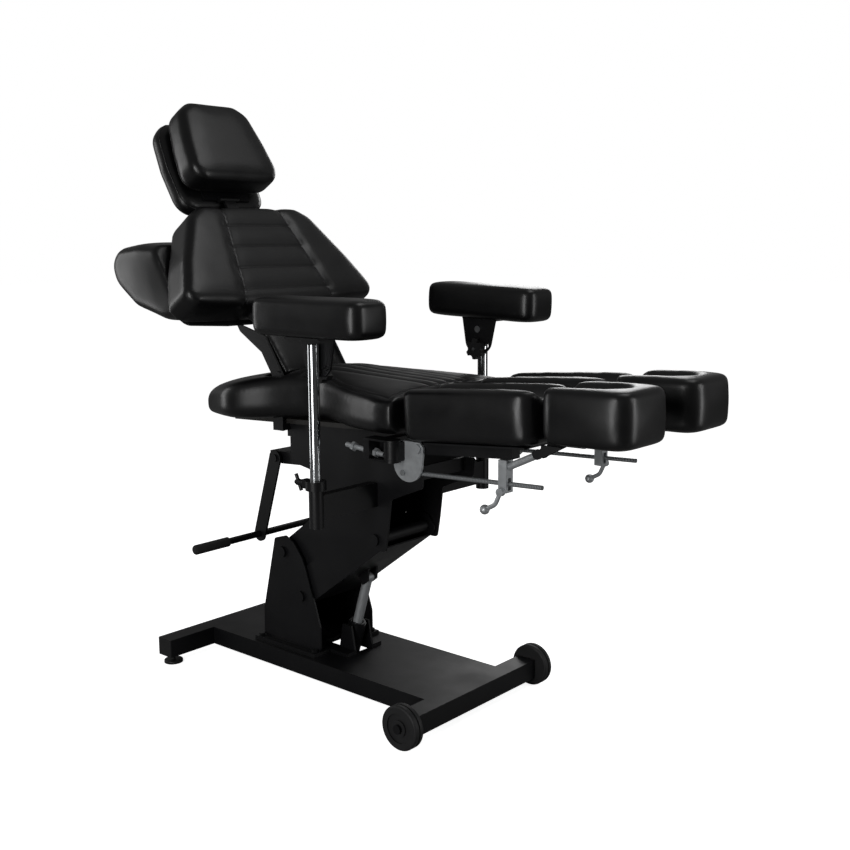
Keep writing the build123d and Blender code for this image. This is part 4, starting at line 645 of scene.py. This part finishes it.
# %% Armrests, calf pads and foot pads
for side in ("near", "far"):
    cushion("arm_pad_sewn_" + side, "arm_pad_" + side, 5.0, draw_mm=3.0, cap_mm=5.0)
    cushion("calf_pad_sewn_" + side, "calf_pad_" + side, 6.0, draw_mm=4.0, cap_mm=6.0)
    cushion("foot_pad_sewn_" + side, "foot_pad_" + side, 6.0, draw_mm=4.0, cap_mm=6.0)

# %% [markdown]
# ## Floor, light and camera
# The chair stands on a plain floor in a white studio. Tall softboxes reach down to the floor,
# because an upright chrome post seen from above mirrors what stands low beside it. The white
# behind comes from what the camera sees of the world and of the floor, so it puts no extra light
# on the chair. Glossy rays don't see that white, so metal mirrors a dim room here.

# %% Floor
floor_mesh = bpy.data.meshes.new("floor")
floor_mesh.from_pydata([(-30, -30, 0), (30, -30, 0), (30, 30, 0), (-30, 30, 0)], [], [(0, 1, 2, 3)])
floor = bpy.data.objects.new("floor", floor_mesh)
floor.location.z = -0.0005
bpy.context.scene.collection.objects.link(floor)
floor_paint = bpy.data.materials.new("floor_paint")
floor_paint.use_nodes = True
tree = floor_paint.node_tree
floor_shader = tree.nodes["Principled BSDF"]
floor_shader.inputs["Base Color"].default_value = linear("#8a8a8a")
floor_shader.inputs["Roughness"].default_value = 0.9
floor_shader.inputs["Specular IOR Level"].default_value = 0.1
rays = add(tree, "ShaderNodeLightPath")
glow = add(tree, "ShaderNodeEmission", {"Color": linear("#ffffff"), "Strength": 0.86})
chalk = add(tree, "ShaderNodeBsdfDiffuse", {"Color": linear("#ffffff")})
bright = add(tree, "ShaderNodeAddShader", {0: chalk.outputs["BSDF"], 1: glow.outputs["Emission"]})
half = add(tree, "ShaderNodeMixShader", {0: rays.outputs["Is Camera Ray"],
                                         1: floor_shader.outputs["BSDF"],
                                         2: bright.outputs["Shader"]})
tree.links.new(half.outputs["Shader"], tree.nodes["Material Output"].inputs["Surface"])
floor_mesh.materials.append(floor_paint)

# %% World
world = bpy.data.worlds.new("studio")
bpy.context.scene.world = world
world.use_nodes = True
tree = world.node_tree
tree.nodes.clear()
rays = add(tree, "ShaderNodeLightPath")
seen = add(tree, "ShaderNodeMath", {0: rays.outputs["Is Camera Ray"],
                                    1: rays.outputs["Is Transmission Ray"]}, operation="MAXIMUM")
soft = add(tree, "ShaderNodeBackground", {"Color": linear("#ffffff"), "Strength": 0.16})
white = add(tree, "ShaderNodeBackground", {"Color": linear("#ffffff"), "Strength": 1.0})
mixed = add(tree, "ShaderNodeMixShader", {0: seen.outputs["Value"], 1: soft.outputs["Background"],
                                          2: white.outputs["Background"]})
add(tree, "ShaderNodeOutputWorld", {"Surface": mixed.outputs["Shader"]})


# %% Lamps
def softbox(name, spot, target, width, height, power):
    """A rectangular area lamp that faces a point."""
    lamp = bpy.data.lights.new(name, "AREA")
    lamp.shape = "RECTANGLE"
    lamp.size = width
    lamp.size_y = height
    lamp.energy = power
    holder = bpy.data.objects.new(name, lamp)
    holder.location = spot
    holder.rotation_euler = (Vector(target) - Vector(spot)).to_track_quat("-Z", "Y").to_euler()
    bpy.context.scene.collection.objects.link(holder)


CENTRE = (0.0, 0.0, 0.8)
softbox("key_softbox", (0.6, -3.1, 1.15), CENTRE, 1.1, 2.2, 50)
softbox("right_softbox", (3.1, 1.2, 1.1), CENTRE, 0.8, 2.1, 24)
softbox("left_softbox", (-2.9, -1.2, 1.1), CENTRE, 0.6, 2.1, 14)
softbox("overhead_softbox", (0.9, 0.9, 3.6), CENTRE, 1.8, 1.2, 15)
softbox("rim_softbox", (-1.4, 3.0, 1.9), CENTRE, 1.2, 1.2, 18)

# %% [markdown]
# ## Camera
# A lens of about 47 mm stands 2.8 metres away, 0.3 metres above the seat, and looks down by
# nine degrees. Its right, up and forward directions are worked out and written into its matrix.

# %% Camera
CAMERA_YAW, CAMERA_PITCH, CAMERA_ROLL, FOCAL_SHARE = 40.9, 9.23, 0.32, 1113 / 850
yaw, pitch, roll = (math.radians(v) for v in (CAMERA_YAW, CAMERA_PITCH, CAMERA_ROLL))
forward = Vector((-math.sin(yaw) * math.cos(pitch), math.cos(yaw) * math.cos(pitch),
                  -math.sin(pitch)))
right = Vector((math.cos(yaw), math.sin(yaw), 0))
up = right.cross(forward)
level_right = right * math.cos(roll) - up * math.sin(roll)
level_up = right * math.sin(roll) + up * math.cos(roll)
lens = bpy.data.cameras.new("camera")
lens.sensor_width = 36
lens.lens = 36 * FOCAL_SHARE
camera = bpy.data.objects.new("camera", lens)
camera.matrix_world = Matrix.Translation(place(1670.5, -2061.6, 1158.5)) @ Matrix(
    (level_right, level_up, -forward)).transposed().to_4x4()
bpy.context.scene.collection.objects.link(camera)
bpy.context.scene.camera = camera
bpy.context.scene.view_settings.view_transform = "Standard"
